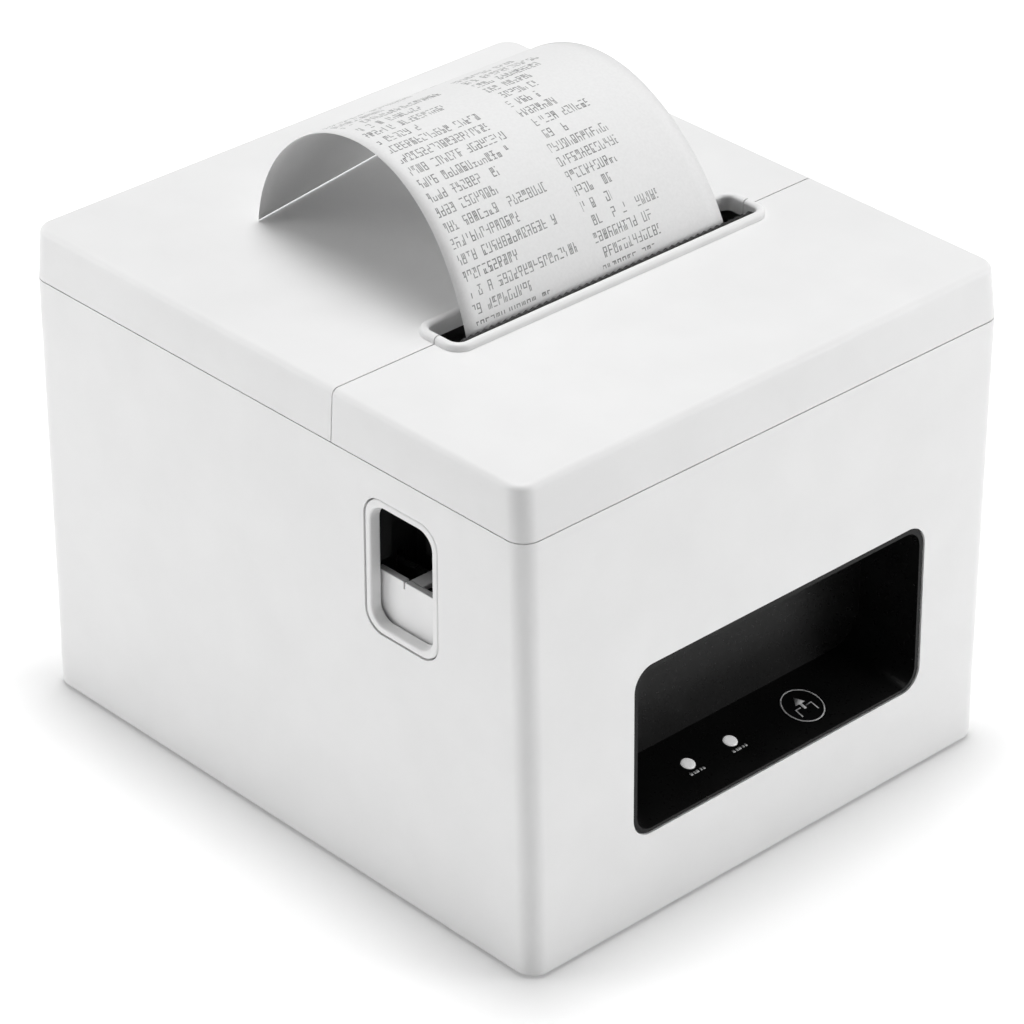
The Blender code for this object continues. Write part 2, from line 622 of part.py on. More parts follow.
guide = box("latch_guide", GUIDE_X, GUIDE_Y, GUIDE_Z, BLACK)
cut(guide, hidden(box, "guide_inside", (GUIDE_X[0] - PAST, GUIDE_X[1] - GUIDE_WALL),
                  (GUIDE_Y[0] + GUIDE_WALL, GUIDE_Y[1] - GUIDE_WALL),
                  (GUIDE_Z[0] + GUIDE_WALL, GUIDE_Z[1] - GUIDE_WALL)))
join(guide,
     hidden(box, "guide_rib_back", (GUIDE_X[0], -67.6), (-32.9, -30.5), RIB_Z),
     hidden(box, "guide_rib_far", (-61.5, -57.5), (-38.6, -37.2), RIB_Z))
cut(guide, hidden(box, "guide_arm_slot", *ARM_SLOT))

lever = box("release_lever", LEVER_X, LEVER_Y, LEVER_Z, WHITE, origin=(LEVER_X[0], LEVER_PIVOT_Y, LEVER_Z[1]))
cut(lever, hidden(box, "lever_notch", (LEVER_X[0] - PAST, LEVER_X[1] + PAST), NOTCH_Y,
                  (NOTCH_Z, LEVER_Z[1] + PAST)))
join(lever,
     hidden(box, "lever_tab", (LEVER_X[1] - OVERLAP, TAB_REACH_X), (TAB_FRONT, NOTCH_Y[0]),
            (LEVER_Z[1] - TAB_THICK, LEVER_Z[1])),
     hidden(box, "lever_flange", (LEVER_X[1] - OVERLAP, FLANGE_X), (LEVER_Y[0], LEVER_Y[0] + FLANGE_THICK),
            FLANGE_Z))

# --- mechanism frame --------------------------------------------------------------------------------------


def step_from(point, direction, distance):
    """Point at a distance from another, in a direction given in degrees."""
    a = math.radians(direction)
    return (point[0] + distance * math.cos(a), point[1] + distance * math.sin(a))


TRAIN = list(TEETH)
PLATEN_AXIS = (PLATEN_Y, PLATEN_Z)
CENTRES = {TRAIN[0]: PLATEN_AXIS}
for above, below, turn in zip(TRAIN, TRAIN[1:], IDLER_TURN):
    CENTRES[below] = step_from(CENTRES[above], turn, MODULE * (TEETH[above] + TEETH[below]) / 2)
MOTOR_AXIS = CENTRES["feed_motor_pinion"]
MOTOR_R, MOTOR_X0, MOTOR_HOLE_R = 13.5, 26.0, 4.0
MOTOR_BOSS_R, MOTOR_SHAFT_R, MOTOR_SHAFT_X0 = 3.5, 1.0, 40.0
CROSS_Z = (76.0, 107.3)   # the cross plate carries the cutter's plate
LEG_WIDTH, LEG_FOOT_Z, TOE_REACH = 9.0, 4.0, 8.0
PLATEN_SLOT_LOW = 0.5     # the open slot starts this far above the platen's axis
STUD_R, STUD_PAST = 1.5, 0.8
PIVOT_HOLE_R = 1.9

LEFT_PLATE = (FRAME_X[0], FRAME_X[0] + PLATE)
RIGHT_PLATE = (FRAME_X[1] - PLATE, FRAME_X[1])
ACROSS_FRAME = (FRAME_X[0] - PAST, FRAME_X[1] + PAST)
LEG_Y = (FRAME_Y[0], FRAME_Y[0] + LEG_WIDTH)
frame = box("mechanism_frame", LEFT_PLATE, FRAME_Y, FRAME_Z, STEEL)
join(frame,
     hidden(box, "right_side_plate", RIGHT_PLATE, FRAME_Y, FRAME_Z),
     hidden(box, "cross_plate", FRAME_X, (FRAME_Y[0], FRAME_Y[0] + PLATE), CROSS_Z))
for side, plate_x, toe_x in (("left", LEFT_PLATE, (LEFT_PLATE[0] - TOE_REACH, LEFT_PLATE[1])),
                             ("right", RIGHT_PLATE, (RIGHT_PLATE[0], RIGHT_PLATE[1] + TOE_REACH))):
    join(frame,
         hidden(box, f"frame_leg_{side}", plate_x, LEG_Y, (LEG_FOOT_Z, FRAME_Z[0] + 1.0)),
         hidden(box, f"frame_toe_{side}", toe_x, LEG_Y, (LEG_FOOT_Z, LEG_FOOT_Z + PLATE)))
slot_y = (PLATEN_Y - BUSHING_R - GAP - OVERLAP, PLATEN_Y + BUSHING_R + GAP)
cut(frame,
    hidden(rod, "platen_seat", "X", PLATEN_AXIS, BUSHING_R + GAP, *ACROSS_FRAME),
    hidden(box, "platen_slot", ACROSS_FRAME, slot_y, (PLATEN_Z + PLATEN_SLOT_LOW, FRAME_Z[1] + 2.0)),
    hidden(rod, "pivot_holes", "X", HEAD_PIVOT, PIVOT_HOLE_R, *ACROSS_FRAME, steps=SMALL_STEPS),
    hidden(rod, "motor_hole", "X", MOTOR_AXIS, MOTOR_HOLE_R, RIGHT_PLATE[0] - PLATE, RIGHT_PLATE[1] + PLATE))
for name in TRAIN[1:3]:
    stud_ends = (FRAME_X[1] - 0.5, GEAR_X[1] + STUD_PAST)
    join(frame, hidden(rod, f"{name}_stud", "X", CENTRES[name], STUD_R, *stud_ends))
smooth(frame)

# --- print head -------------------------------------------------------------------------------------------
HEAD_X = (-40.5, 43.5)
HEAD_CLEAR = 0.75         # between the platen's rubber and the head: the paper and its play
HEAD_BACK, SINK_OUT = 1.0, (1.25, 3.6)
HEAD_UP, SINK_LOW = (-8.0, 3.0), -21.5
FIN_OUT, FIN_THICK, FIN_UPS = (3.3, 5.2), 1.0, (-18.0, -14.5, -11.0)
EYE_R, EYE_WIDTH, EYE_BORE = 3.0, 10.0, 1.8
PIVOT_R, PIVOT_X0, PIVOT_PAST = 1.5, -65.0, 0.8
ARM_X, ARM_BORE = (-63.4, -61.6), 1.6
tilt = math.radians(HEAD_TILT)
OUT = Vector((math.cos(tilt), math.sin(tilt)))          # from the platen towards the head
UP = Vector((math.sin(tilt), -math.cos(tilt)))          # along the head, upwards
CONTACT = Vector(PLATEN_AXIS) + OUT * (PLATEN_R + HEAD_CLEAR)
PIVOT = (0.0, *HEAD_PIVOT)


def head_outline(outs, ups):
    """Rectangle in the head's own directions, measured from the heated line."""
    corners = ((outs[0], ups[0]), (outs[1], ups[0]), (outs[1], ups[1]), (outs[0], ups[1]))
    return [tuple(CONTACT + OUT * out + UP * up) for out, up in corners]


prism("print_head", head_outline((0.0, HEAD_BACK), HEAD_UP), "X", *HEAD_X, CERAMIC, origin=PIVOT)
sink = prism("heat_sink", head_outline(SINK_OUT, (SINK_LOW, HEAD_UP[1])), "X", *HEAD_X, ALUMINIUM, origin=PIVOT)
for i, up in enumerate(FIN_UPS):
    join(sink, hidden(prism, f"sink_fin_{i}", head_outline(FIN_OUT, (up, up + FIN_THICK)), "X", *HEAD_X))
join(sink,
     hidden(rod, "sink_eye_left", "X", HEAD_PIVOT, EYE_R, HEAD_X[0], HEAD_X[0] + EYE_WIDTH),
     hidden(rod, "sink_eye_right", "X", HEAD_PIVOT, EYE_R, HEAD_X[1] - EYE_WIDTH, HEAD_X[1]))
cut(sink, hidden(rod, "sink_bore", "X", HEAD_PIVOT, EYE_BORE, HEAD_X[0] - PAST, HEAD_X[1] + PAST))
smooth(rod("head_pivot_rod", "X", HEAD_PIVOT, PIVOT_R, PIVOT_X0, FRAME_X[1] + PIVOT_PAST, STEEL, origin=PIVOT))
tip_y, tip_z = ARM_TIP
ARM_OUTLINE = [(HEAD_PIVOT[0] - 1.0, 71.0), (-9.6, 72.0), (-9.6, 77.0), (-13.0, 78.4), (-36.0, tip_z + 1.0),
               (tip_y, tip_z + 1.0), (tip_y, tip_z - 1.4), (-36.0, tip_z - 3.0)]
arm = prism("release_arm", ARM_OUTLINE, "X", *ARM_X, STEEL, origin=PIVOT)
cut(arm, hidden(rod, "arm_bore", "X", HEAD_PIVOT, ARM_BORE, ARM_X[0] - PAST, ARM_X[1] + PAST))

SPRING_Z, SPRING_XS = 93.0, (-20.0, 23.0)
SPRING_R, WIRE_R, SPRING_TURNS, COIL_STEPS = 2.4, 0.35, 4, 10
SPRING_SEAT = 0.5         # radius of the wire and the play at each end of a spring


def coil(name, x, start_y, length):
    """Compression spring along Y, pushing the print head against the platen."""
    curve = bpy.data.curves.new(name, "CURVE")
    curve.dimensions = "3D"
    curve.bevel_depth = WIRE_R * MM
    curve.bevel_resolution = 2
    curve.use_fill_caps = True
    count = SPRING_TURNS * COIL_STEPS
    points = []
    for i in range(count + 1):
        a = 2 * math.pi * SPRING_TURNS * i / count
        across, up = SPRING_R * math.cos(a), SPRING_R * math.sin(a)
        points.append((x + across, start_y + length * i / count, SPRING_Z + up))
    poly_line(curve, points, False)
    smooth(keep_bmesh(name, mesh_of(curve), STEEL), 60.0)


spring_start = FRAME_Y[0] + PLATE + GAP + SPRING_SEAT
sink_back = CONTACT + OUT * SINK_OUT[1]
spring_end = (sink_back + UP * ((SPRING_Z - CONTACT.y) / UP.y)).x - 2 * GAP - 2 * SPRING_SEAT
for side, x in zip(("left", "right"), SPRING_XS):
    coil(f"head_spring_{side}", x, spring_start, spring_end - spring_start)


# --- gears ------------------------------------------------------------------------------------------------
FLANK_STEPS = 2
ADDENDUM, DEDENDUM = 0.9, 1.25
WHEEL_HOLES, WHEEL_HOLE_TURN = 3, 30.0
HOLE_CENTRE_SHARE, HOLE_R_SHARE, HOLE_STEPS = 0.29, 0.1, 10    # shares of a wheel's pitch diameter


def involute(angle):
    return math.tan(angle) - angle


def gear_outline(teeth, module, first_tooth, centre):
    """Spur gear outline, one tooth centred on the given direction in radians."""
    pitch_r = module * teeth / 2
    base_r = pitch_r * math.cos(PRESSURE)
    tip_r, root_r = pitch_r + ADDENDUM * module, pitch_r - DEDENDUM * module
    start_r = max(base_r, root_r)
    half = math.pi / (2 * teeth) - BACKLASH / (2 * pitch_r)
    flank = []
    for i in range(FLANK_STEPS + 1):
        r = start_r + (tip_r - start_r) * i / FLANK_STEPS
        flank.append((r, half + involute(PRESSURE) - involute(math.acos(min(1.0, base_r / r)))))
    if start_r > root_r:
        flank.insert(0, (root_r, flank[0][1]))
    tooth = [(r, -a) for r, a in flank] + [(r, a) for r, a in reversed(flank)]
    outline = []
    for k in range(teeth):
        middle = first_tooth + 2 * math.pi * k / teeth
        for r, a in tooth:
            outline.append((centre[0] + r * math.cos(middle + a), centre[1] + r * math.sin(middle + a)))
    return outline


PHASE = {TRAIN[0]: math.radians(IDLER_TURN[0])}
for above, below, turn in zip(TRAIN, TRAIN[1:], IDLER_TURN):
    line = math.radians(turn)
    lead_angle = PHASE[above] - line      # tooth of the upper gear, measured from the line of centres
    gap_centre = line + math.pi - lead_angle * TEETH[above] / TEETH[below]
    PHASE[below] = gap_centre + math.pi / TEETH[below]


def spur(name, bore, look):
    centre = CENTRES[name]
    outline = gear_outline(TEETH[name], MODULE, PHASE[name], centre)
    gear = prism(name, outline, "X", *GEAR_X, look, origin=(GEAR_X[0], *centre))
    if bore:
        cut(gear, hidden(rod, f"{name}_bore", "X", centre, bore, GEAR_X[0] - PAST, GEAR_X[1] + PAST))
    return gear


spur("platen_gear", SHAFT_R + PIN_PLAY, NYLON)
for name in TRAIN[1:3]:
    wheel = spur(name, STUD_R + PIN_PLAY, NYLON)
    diameter = MODULE * TEETH[name]
    for k in range(WHEEL_HOLES):
        hole = step_from(CENTRES[name], 360.0 / WHEEL_HOLES * k + WHEEL_HOLE_TURN, diameter * HOLE_CENTRE_SHARE)
        cut(wheel, hidden(rod, f"{name}_hole_{k}", "X", hole, diameter * HOLE_R_SHARE,
                          GEAR_X[0] - PAST, GEAR_X[1] + PAST, steps=HOLE_STEPS))
pinion = spur("feed_motor_pinion", None, STEEL)
join(pinion, hidden(rod, "motor_shaft", "X", MOTOR_AXIS, MOTOR_SHAFT_R, MOTOR_SHAFT_X0, GEAR_X[1] + 0.6,
                    steps=SMALL_STEPS))
motor = rod("feed_motor", "X", MOTOR_AXIS, MOTOR_R, MOTOR_X0, RIGHT_PLATE[0] - GAP, STEEL)
join(motor, hidden(rod, "motor_boss", "X", MOTOR_AXIS, MOTOR_BOSS_R, MOTOR_SHAFT_X0, RIGHT_PLATE[1] + OVERLAP))
cut(motor, hidden(rod, "motor_bore", "X", MOTOR_AXIS, MOTOR_SHAFT_R + 0.2, MOTOR_SHAFT_X0 - 1.0,
                  RIGHT_PLATE[1] + PAST, steps=SMALL_STEPS))
smooth(motor)

# --- platen -----------------------------------------------------------------------------------------------
PLATEN_ORIGIN = (0.0, *PLATEN_AXIS)
RUBBER_X, RUBBER_STEPS = (-39.6, 42.6), 40
SHAFT_X = (FRAME_X[0] - 4.0, GEAR_X[1] + 1.0)
SHAFT_PLAY = 0.1
BUSHING_WIDTH = 2.7
smooth(rod("platen_shaft", "X", PLATEN_AXIS, SHAFT_R, *SHAFT_X, STEEL, origin=PLATEN_ORIGIN))
rubber = rod("platen_rubber", "X", PLATEN_AXIS, PLATEN_R, *RUBBER_X, RUBBER, steps=RUBBER_STEPS,
             origin=PLATEN_ORIGIN)
cut(rubber, hidden(rod, "rubber_bore", "X", PLATEN_AXIS, SHAFT_R + SHAFT_PLAY, RUBBER_X[0] - PAST,
                   RUBBER_X[1] + PAST))
smooth(rubber)
for side, low in (("left", LEFT_PLATE[0] - 0.7), ("right", RIGHT_PLATE[0] - 0.5)):
    bushing = rod(f"platen_bushing_{side}", "X", PLATEN_AXIS, BUSHING_R, low, low + BUSHING_WIDTH, NYLON)
    cut(bushing, hidden(rod, f"bushing_bore_{side}", "X", PLATEN_AXIS, SHAFT_R + SHAFT_PLAY, low - PAST,
                        low + BUSHING_WIDTH + PAST))
    smooth(bushing)

# --- carrier under the rear cover -------------------------------------------------------------------------
CARRIER_X, CARRIER_Y, CARRIER_Z = (-43.0, 46.0), (-14.2, 8.0), (107.0, TOP_Z - COVER_WALL - GAP)
CARRIER_WALL = (3.2, 3.2, 2.2)        # sides, front, top
CHEEK_R, CHEEK_WIDTH = 4.6, 3.0
FIXED_BLADE = ((-39.5, 42.5), (-23.3, -14.6), (108.3, 109.3))
carrier = box("cover_carrier", CARRIER_X, CARRIER_Y, CARRIER_Z, BLACK)
cut(carrier, hidden(box, "carrier_hollow", (CARRIER_X[0] + CARRIER_WALL[0], CARRIER_X[1] - CARRIER_WALL[0]),
                    (CARRIER_Y[0] + CARRIER_WALL[1], CARRIER_Y[1] - CARRIER_WALL[1] + 0.7),
                    (CARRIER_Z[0] - PAST, CARRIER_Z[1] - CARRIER_WALL[2])))
HALF_TURN_STEPS = 14
arc_turns = [180.0 + 180.0 * i / HALF_TURN_STEPS for i in range(HALF_TURN_STEPS + 1)]
lower_arc = [step_from(PLATEN_AXIS, turn, CHEEK_R) for turn in arc_turns]
CHEEK = lower_arc + [(PLATEN_Y + CHEEK_R, PLATEN_Z + 1.0), (4.0, 107.5), (4.0, 112.0), (-14.0, 112.0),
                     (-18.6, 106.5), (PLATEN_Y - CHEEK_R, PLATEN_Z + 1.0)]
for side, low in (("left", CARRIER_X[0]), ("right", CARRIER_X[1] - CHEEK_WIDTH)):
    join(carrier, hidden(prism, f"carrier_cheek_{side}", CHEEK, "X", low, low + CHEEK_WIDTH))
    cut(carrier, hidden(rod, f"carrier_bore_{side}", "X", PLATEN_AXIS, SHAFT_R + GAP, low - 1.0,
                        low + CHEEK_WIDTH + 1.0))
box("fixed_blade", *FIXED_BLADE, STEEL)

# --- cutter -----------------------------------------------------------------------------------------------
CUTTER_PLATE = ((-48.0, 64.0), (-70.0, -26.0), (107.6, 109.3))
BLADE_X = (-40.5, 46.0)
GUIDE_XS, GUIDE_PIN_R, GUIDE_PIN_Y, GUIDE_PIN_TOP = (-25.0, 0.0, 25.0), 1.4, -36.2, 111.6
BLADE_SLOT_HALF, BLADE_SLOT_Y = 1.8, (-50.0, -34.0)
RACK_BACK_X, RACK_THICK, RACK_HALF_COUNT = 43.0, 3.0, 6
RACK_TIP, RACK_ROOT = 0.9, 1.1
CUTTER_SHAFT_R, CUTTER_SHAFT_Z0 = 1.0, 100.0
CUTTER_MOTOR_R, CUTTER_MOTOR_Z = 7.8, (86.0, 107.3)
plate = box("cutter_plate", *CUTTER_PLATE, STEEL)
blade = box("moving_blade", BLADE_X, BLADE_Y, BLADE_Z, STEEL, origin=(0.0, BLADE_Y[1], BLADE_Z[0]))
for i, x in enumerate(GUIDE_XS):
    cut(blade, hidden(box, f"blade_slot_{i}", (x - BLADE_SLOT_HALF, x + BLADE_SLOT_HALF), BLADE_SLOT_Y,
                      (BLADE_Z[0] - 0.6, BLADE_Z[1] + 0.6)))
    join(plate, hidden(rod, f"blade_guide_{i}", "Z", (x, GUIDE_PIN_Y), GUIDE_PIN_R, CUTTER_PLATE[2][1] - GAP,
                       GUIDE_PIN_TOP, steps=SMALL_STEPS))
pitch = math.pi * RACK_MODULE
CUTTER_AXIS = (RACK_LINE_X + RACK_MODULE * RACK_TEETH / 2, CUTTER_PINION_Y)
tip_half = pitch / 4 - BACKLASH / 2 - RACK_TIP * RACK_MODULE * math.tan(PRESSURE)
root_half = pitch / 4 - BACKLASH / 2 + RACK_ROOT * RACK_MODULE * math.tan(PRESSURE)
tip_x, root_x = RACK_LINE_X + RACK_TIP * RACK_MODULE, RACK_LINE_X - RACK_ROOT * RACK_MODULE
rack_end = (RACK_HALF_COUNT + 1) * pitch
rack_outline = [(RACK_BACK_X, CUTTER_PINION_Y - rack_end)]
for k in range(-RACK_HALF_COUNT, RACK_HALF_COUNT + 1):
    y = CUTTER_PINION_Y + k * pitch
    rack_outline += [(root_x, y - root_half), (tip_x, y - tip_half)]
    rack_outline += [(tip_x, y + tip_half), (root_x, y + root_half)]
rack_outline.append((RACK_BACK_X, CUTTER_PINION_Y + rack_end))
RACK_Z = (BLADE_Z[1] + GAP, BLADE_Z[1] + GAP + RACK_THICK)
prism("cutter_rack", rack_outline, "Z", *RACK_Z, NYLON, origin=(RACK_LINE_X, CUTTER_PINION_Y, RACK_Z[0]))
pinion_outline = gear_outline(RACK_TEETH, RACK_MODULE, math.pi + math.pi / RACK_TEETH, CUTTER_AXIS)
cutter_pinion = prism("cutter_pinion", pinion_outline, "Z", RACK_Z[0] - 0.2, RACK_Z[1] + 0.2, NYLON,
                      origin=(*CUTTER_AXIS, RACK_Z[0]))
join(cutter_pinion, hidden(rod, "cutter_shaft", "Z", CUTTER_AXIS, CUTTER_SHAFT_R, CUTTER_SHAFT_Z0,
                           RACK_Z[1] + 1.0, steps=SMALL_STEPS))
cutter_motor = rod("cutter_motor", "Z", CUTTER_AXIS, CUTTER_MOTOR_R, *CUTTER_MOTOR_Z, STEEL)
cut(cutter_motor, hidden(rod, "cutter_motor_bore", "Z", CUTTER_AXIS, CUTTER_SHAFT_R + 0.2,
                         CUTTER_SHAFT_Z0 - 2.0, CUTTER_MOTOR_Z[1] + PAST, steps=SMALL_STEPS))
smooth(cutter_motor)
cut(plate, hidden(rod, "cutter_shaft_hole", "Z", CUTTER_AXIS, 2 * CUTTER_SHAFT_R, CUTTER_PLATE[2][0] - PAST,
                  CUTTER_PLATE[2][1] + PAST))

# --- paper ------------------------------------------------------------------------------------------------
TUB_Z, TUB_R, TUB_WALL, TUB_STEPS = ROLL_Z + 5.0 - GAP, 36.0, 1.8, 44
TUB_X = (PAPER_X[0] - 1.6, PAPER_X[1] + 1.6)
TUB_TOP, TUB_FRONT_TOP = 92.0, 55.0   # height of the sides at the back and at the front
TUB_FRONT_Y = ROLL_Y - 20.0
OUTSIDE_X = (TUB_X[0] - TUB_WALL, TUB_X[1] + TUB_WALL)
PAST_TUB_X = (OUTSIDE_X[0] - PAST, OUTSIDE_X[1] + PAST)
AHEAD_OF_TUB = ROLL_Y - TUB_R - 8.0
tub = box("paper_tub", OUTSIDE_X, (ROLL_Y - TUB_R - TUB_WALL + 4.0, ROLL_Y + TUB_R + TUB_WALL),
          (TUB_Z - TUB_R - TUB_WALL, TUB_TOP), BLACK)
cut(tub,
    hidden(prism, "tub_round", circle(ROLL_Y, TUB_Z, TUB_R, TUB_STEPS), "X", *TUB_X),
    hidden(box, "tub_open_top", TUB_X, (ROLL_Y - TUB_R - PAST, ROLL_Y + TUB_R), (TUB_Z, TUB_TOP + PAST)),
    hidden(box, "tub_open_front", TUB_X, (AHEAD_OF_TUB, TUB_FRONT_Y), (TUB_Z - 17.0, TUB_TOP + PAST)),
    hidden(box, "tub_low_front", PAST_TUB_X, (AHEAD_OF_TUB, TUB_FRONT_Y), (TUB_FRONT_TOP, TUB_TOP + PAST)))
under_half = range(TUB_STEPS // 2 + 1)
tub_belly = [step_from((ROLL_Y, TUB_Z), -360.0 * i / TUB_STEPS, TUB_R + TUB_WALL) for i in under_half]
shave_low, shave_half = TUB_Z - TUB_R - TUB_WALL - PAST, TUB_R + TUB_WALL + PAST
shave = tub_belly + [(ROLL_Y - shave_half, TUB_Z), (ROLL_Y - shave_half, shave_low),
                     (ROLL_Y + shave_half, shave_low), (ROLL_Y + shave_half, TUB_Z)]
cut(tub, hidden(prism, "tub_shave", shave, "X", *PAST_TUB_X))
smooth(tub)

ROLL_AXIS, ROLL_STEPS = (ROLL_Y, ROLL_Z), 64
ROLL_ORIGIN = (0.0, *ROLL_AXIS)
PAST_PAPER = (PAPER_X[0] - PAST, PAPER_X[1] + PAST)
roll = rod("paper_roll", "X", ROLL_AXIS, ROLL_R, *PAPER_X, PAPER, steps=ROLL_STEPS, origin=ROLL_ORIGIN)
cut(roll, hidden(rod, "roll_hole", "X", ROLL_AXIS, CORE_R + 0.2, *PAST_PAPER))
smooth(roll)
core = rod("paper_core", "X", ROLL_AXIS, CORE_R, *PAPER_X, CARD, origin=ROLL_ORIGIN)
cut(core, hidden(rod, "core_hole", "X", ROLL_AXIS, CORE_HOLE_R, *PAST_PAPER))
smooth(core)

WEB_OFF_ROLL, WEB_OFF_PLATEN = 0.45, 0.4
ARCH_STEPS, ACROSS, STRAIGHT = 30, 4, 4
FINE = 400                # steps in which an arch edge's length is measured


def tangent_web():
    """Centre line of the paper web: touches the roll and the platen on their front sides."""
    start, end = Vector(ROLL_AXIS), Vector(PLATEN_AXIS)
    across = end - start
    roll_r, platen_r = ROLL_R + WEB_OFF_ROLL, PLATEN_R + WEB_OFF_PLATEN
    normal_angle = math.atan2(across.y, across.x) + math.acos((roll_r - platen_r) / across.length)
    normal = Vector((math.cos(normal_angle), math.sin(normal_angle)))
    low = start + normal * roll_r
    along = (end + normal * platen_r - low).normalized()
    return low, low + along * ((CUT_Z[0] - low.y) / along.y), normal


def bezier(points, t):
    weights = ((1 - t) ** 3, 3 * t * (1 - t) ** 2, 3 * t * t * (1 - t), t ** 3)
    return sum((weight * Vector(point) for weight, point in zip(weights, points)), Vector((0.0, 0.0)))


def arch_line(points, root_y):
    """One edge of the receipt: straight up through the slot, then evenly spaced along its arch."""
    root_z = points[0][1]
    line = [Vector((root_y, CUT_Z[1] + (root_z - CUT_Z[1]) * i / STRAIGHT)) for i in range(STRAIGHT)]
    fine = [bezier(points, i / FINE) for i in range(FINE + 1)]
    run = [0.0]
    for a, b in zip(fine, fine[1:]):
        run.append(run[-1] + (b - a).length)
    k = 0
    for i in range(ARCH_STEPS + 1):
        want = run[-1] * i / ARCH_STEPS
        while k < FINE - 1 and run[k + 1] < want:
            k += 1
        line.append(fine[k].lerp(fine[k + 1], (want - run[k]) / (run[k + 1] - run[k])))
    return line


web_low, web_high, web_out = tangent_web()
half_web = web_out * (PAPER_THICK / 2)
web_outline = [web_low - half_web, web_low + half_web, web_high + half_web, web_high - half_web]
prism("paper_web", web_outline, "X", *PAPER_X, PAPER)

left_line = arch_line(LEFT_ARCH, LEFT_ARCH[0][0] + 0.1)
right_line = arch_line(RIGHT_ARCH, RIGHT_ARCH[0][0])
work = bmesh.new()
rows = []
for i, (left, right) in enumerate(zip(left_line, right_line)):
    drift = RECEIPT_SHIFT * max(0, i - STRAIGHT) / ARCH_STEPS
    row = []
    for k in range(ACROSS + 1):
        share = k / ACROSS
        x = PAPER_X[0] + (PAPER_X[1] - PAPER_X[0]) * share + drift
        row.append(work.verts.new(Vector((x, *left.lerp(right, share))) * MM))
    rows.append(row)
for row, following in zip(rows, rows[1:]):
    for k in range(ACROSS):
        work.faces.new((row[k], row[k + 1], following[k + 1], following[k]))
receipt = keep_bmesh("receipt", work, PAPER)
shell(receipt, PAPER_THICK, 0.0)
smooth(receipt)

# --- electronics ------------------------------------------------------------------------------------------
BOARD_X, BOARD_Y, BOARD_Z = (-60.5, 40.0), (-24.0, BACK - WALL - 1.0), (6.2, 7.8)
CHIPS = ((-58.0, 10.0, 12.0, 1.6), (-57.0, 34.0, 8.0, 6.0), (-20.0, 20.0, 14.0, 1.4), (14.0, 24.0, 9.0, 1.6))
PORT_RECESS = 0.2         # a port's face sits this far inside the back face
SOCKET_R, SOCKET_DEPTH, SOCKET_FLOOR = 4.6, 9.0, 3.0
SOCKET_WALL = (1.2, 1.6)
SWITCH_Y = (BACK - 14.0, BACK + 0.6)
SWITCH_HOLLOW = (5.6, 8.8, BACK - 7.5)
ROCK, ROCKER_Y, ROCKER_HALF = math.radians(9.0), BACK - 3.0, 5.2
SENSOR = ((-4.0, 4.0), (-27.0, -20.5), (78.0, 81.5))
main_board = box("main_board", BOARD_X, BOARD_Y, BOARD_Z, BOARD)
for i, (x, y, width, height) in enumerate(CHIPS):
    join(main_board, hidden(box, f"chip_{i}", (x, x + width), (y, y + width),
                            (BOARD_Z[1] - BOARD_SINK, BOARD_Z[1] + height)))
for name, port in PORTS.items():
    half, top = port.width / 2, PORT_Z + port.height
    body = box(name, (port.x - half, port.x + half), (BACK - port.depth, BACK - PORT_RECESS), (PORT_Z, top),
               port.look)
    if name == "power_inlet":
        cut(body, hidden(rod, f"{name}_socket", "Y", (port.x, PORT_Z + port.height / 2), SOCKET_R,
                         BACK - SOCKET_DEPTH, BACK + 1.0))
    else:
        inner = half - SOCKET_WALL[0]
        cut(body, hidden(box, f"{name}_socket", (port.x - inner, port.x + inner),
                         (BACK - port.depth + SOCKET_FLOOR, BACK + 1.0),
                         (PORT_Z + SOCKET_WALL[1], top - SOCKET_WALL[1])))
switch = box("power_switch_frame", (SWITCH_X - SWITCH_W / 2, SWITCH_X + SWITCH_W / 2), SWITCH_Y,
             (SWITCH_Z - SWITCH_H / 2, SWITCH_Z + SWITCH_H / 2), BLACK)
hollow_x, hollow_z, hollow_y = SWITCH_HOLLOW
cut(switch, hidden(box, "switch_inside", (SWITCH_X - hollow_x, SWITCH_X + hollow_x), (hollow_y, BACK + PAST),
                   (SWITCH_Z - hollow_z, SWITCH_Z + hollow_z)))


def rocked(dy, dz):
    """Rocker outline point, given from its pivot, turned so that the lower half is pressed in."""
    y = ROCKER_Y + dy * math.cos(ROCK) + dz * math.sin(ROCK)
    z = SWITCH_Z - dy * math.sin(ROCK) + dz * math.cos(ROCK)
    return (y, z)


ROCKER = [(-2.5, -3.0), (1.6, -7.6), (3.8, -7.6), (2.7, 0.0), (3.8, 7.6), (1.6, 7.6), (-2.5, 3.0)]
rocker_x = (SWITCH_X - ROCKER_HALF, SWITCH_X + ROCKER_HALF)
prism("power_rocker", [rocked(dy, dz) for dy, dz in ROCKER], "X", *rocker_x, BLACK,
      origin=(SWITCH_X, ROCKER_Y, SWITCH_Z))
box("paper_sensor", *SENSOR, BLACK)
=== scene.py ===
"""Looks of the desktop receipt printer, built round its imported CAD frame.

Lengths are in millimetres and angles in degrees, as in the CAD; the helpers convert to metres and radians.
X runs to the printer's right, Y to its back, Z up, and the table is at Z = 0.
"""
import json
import math

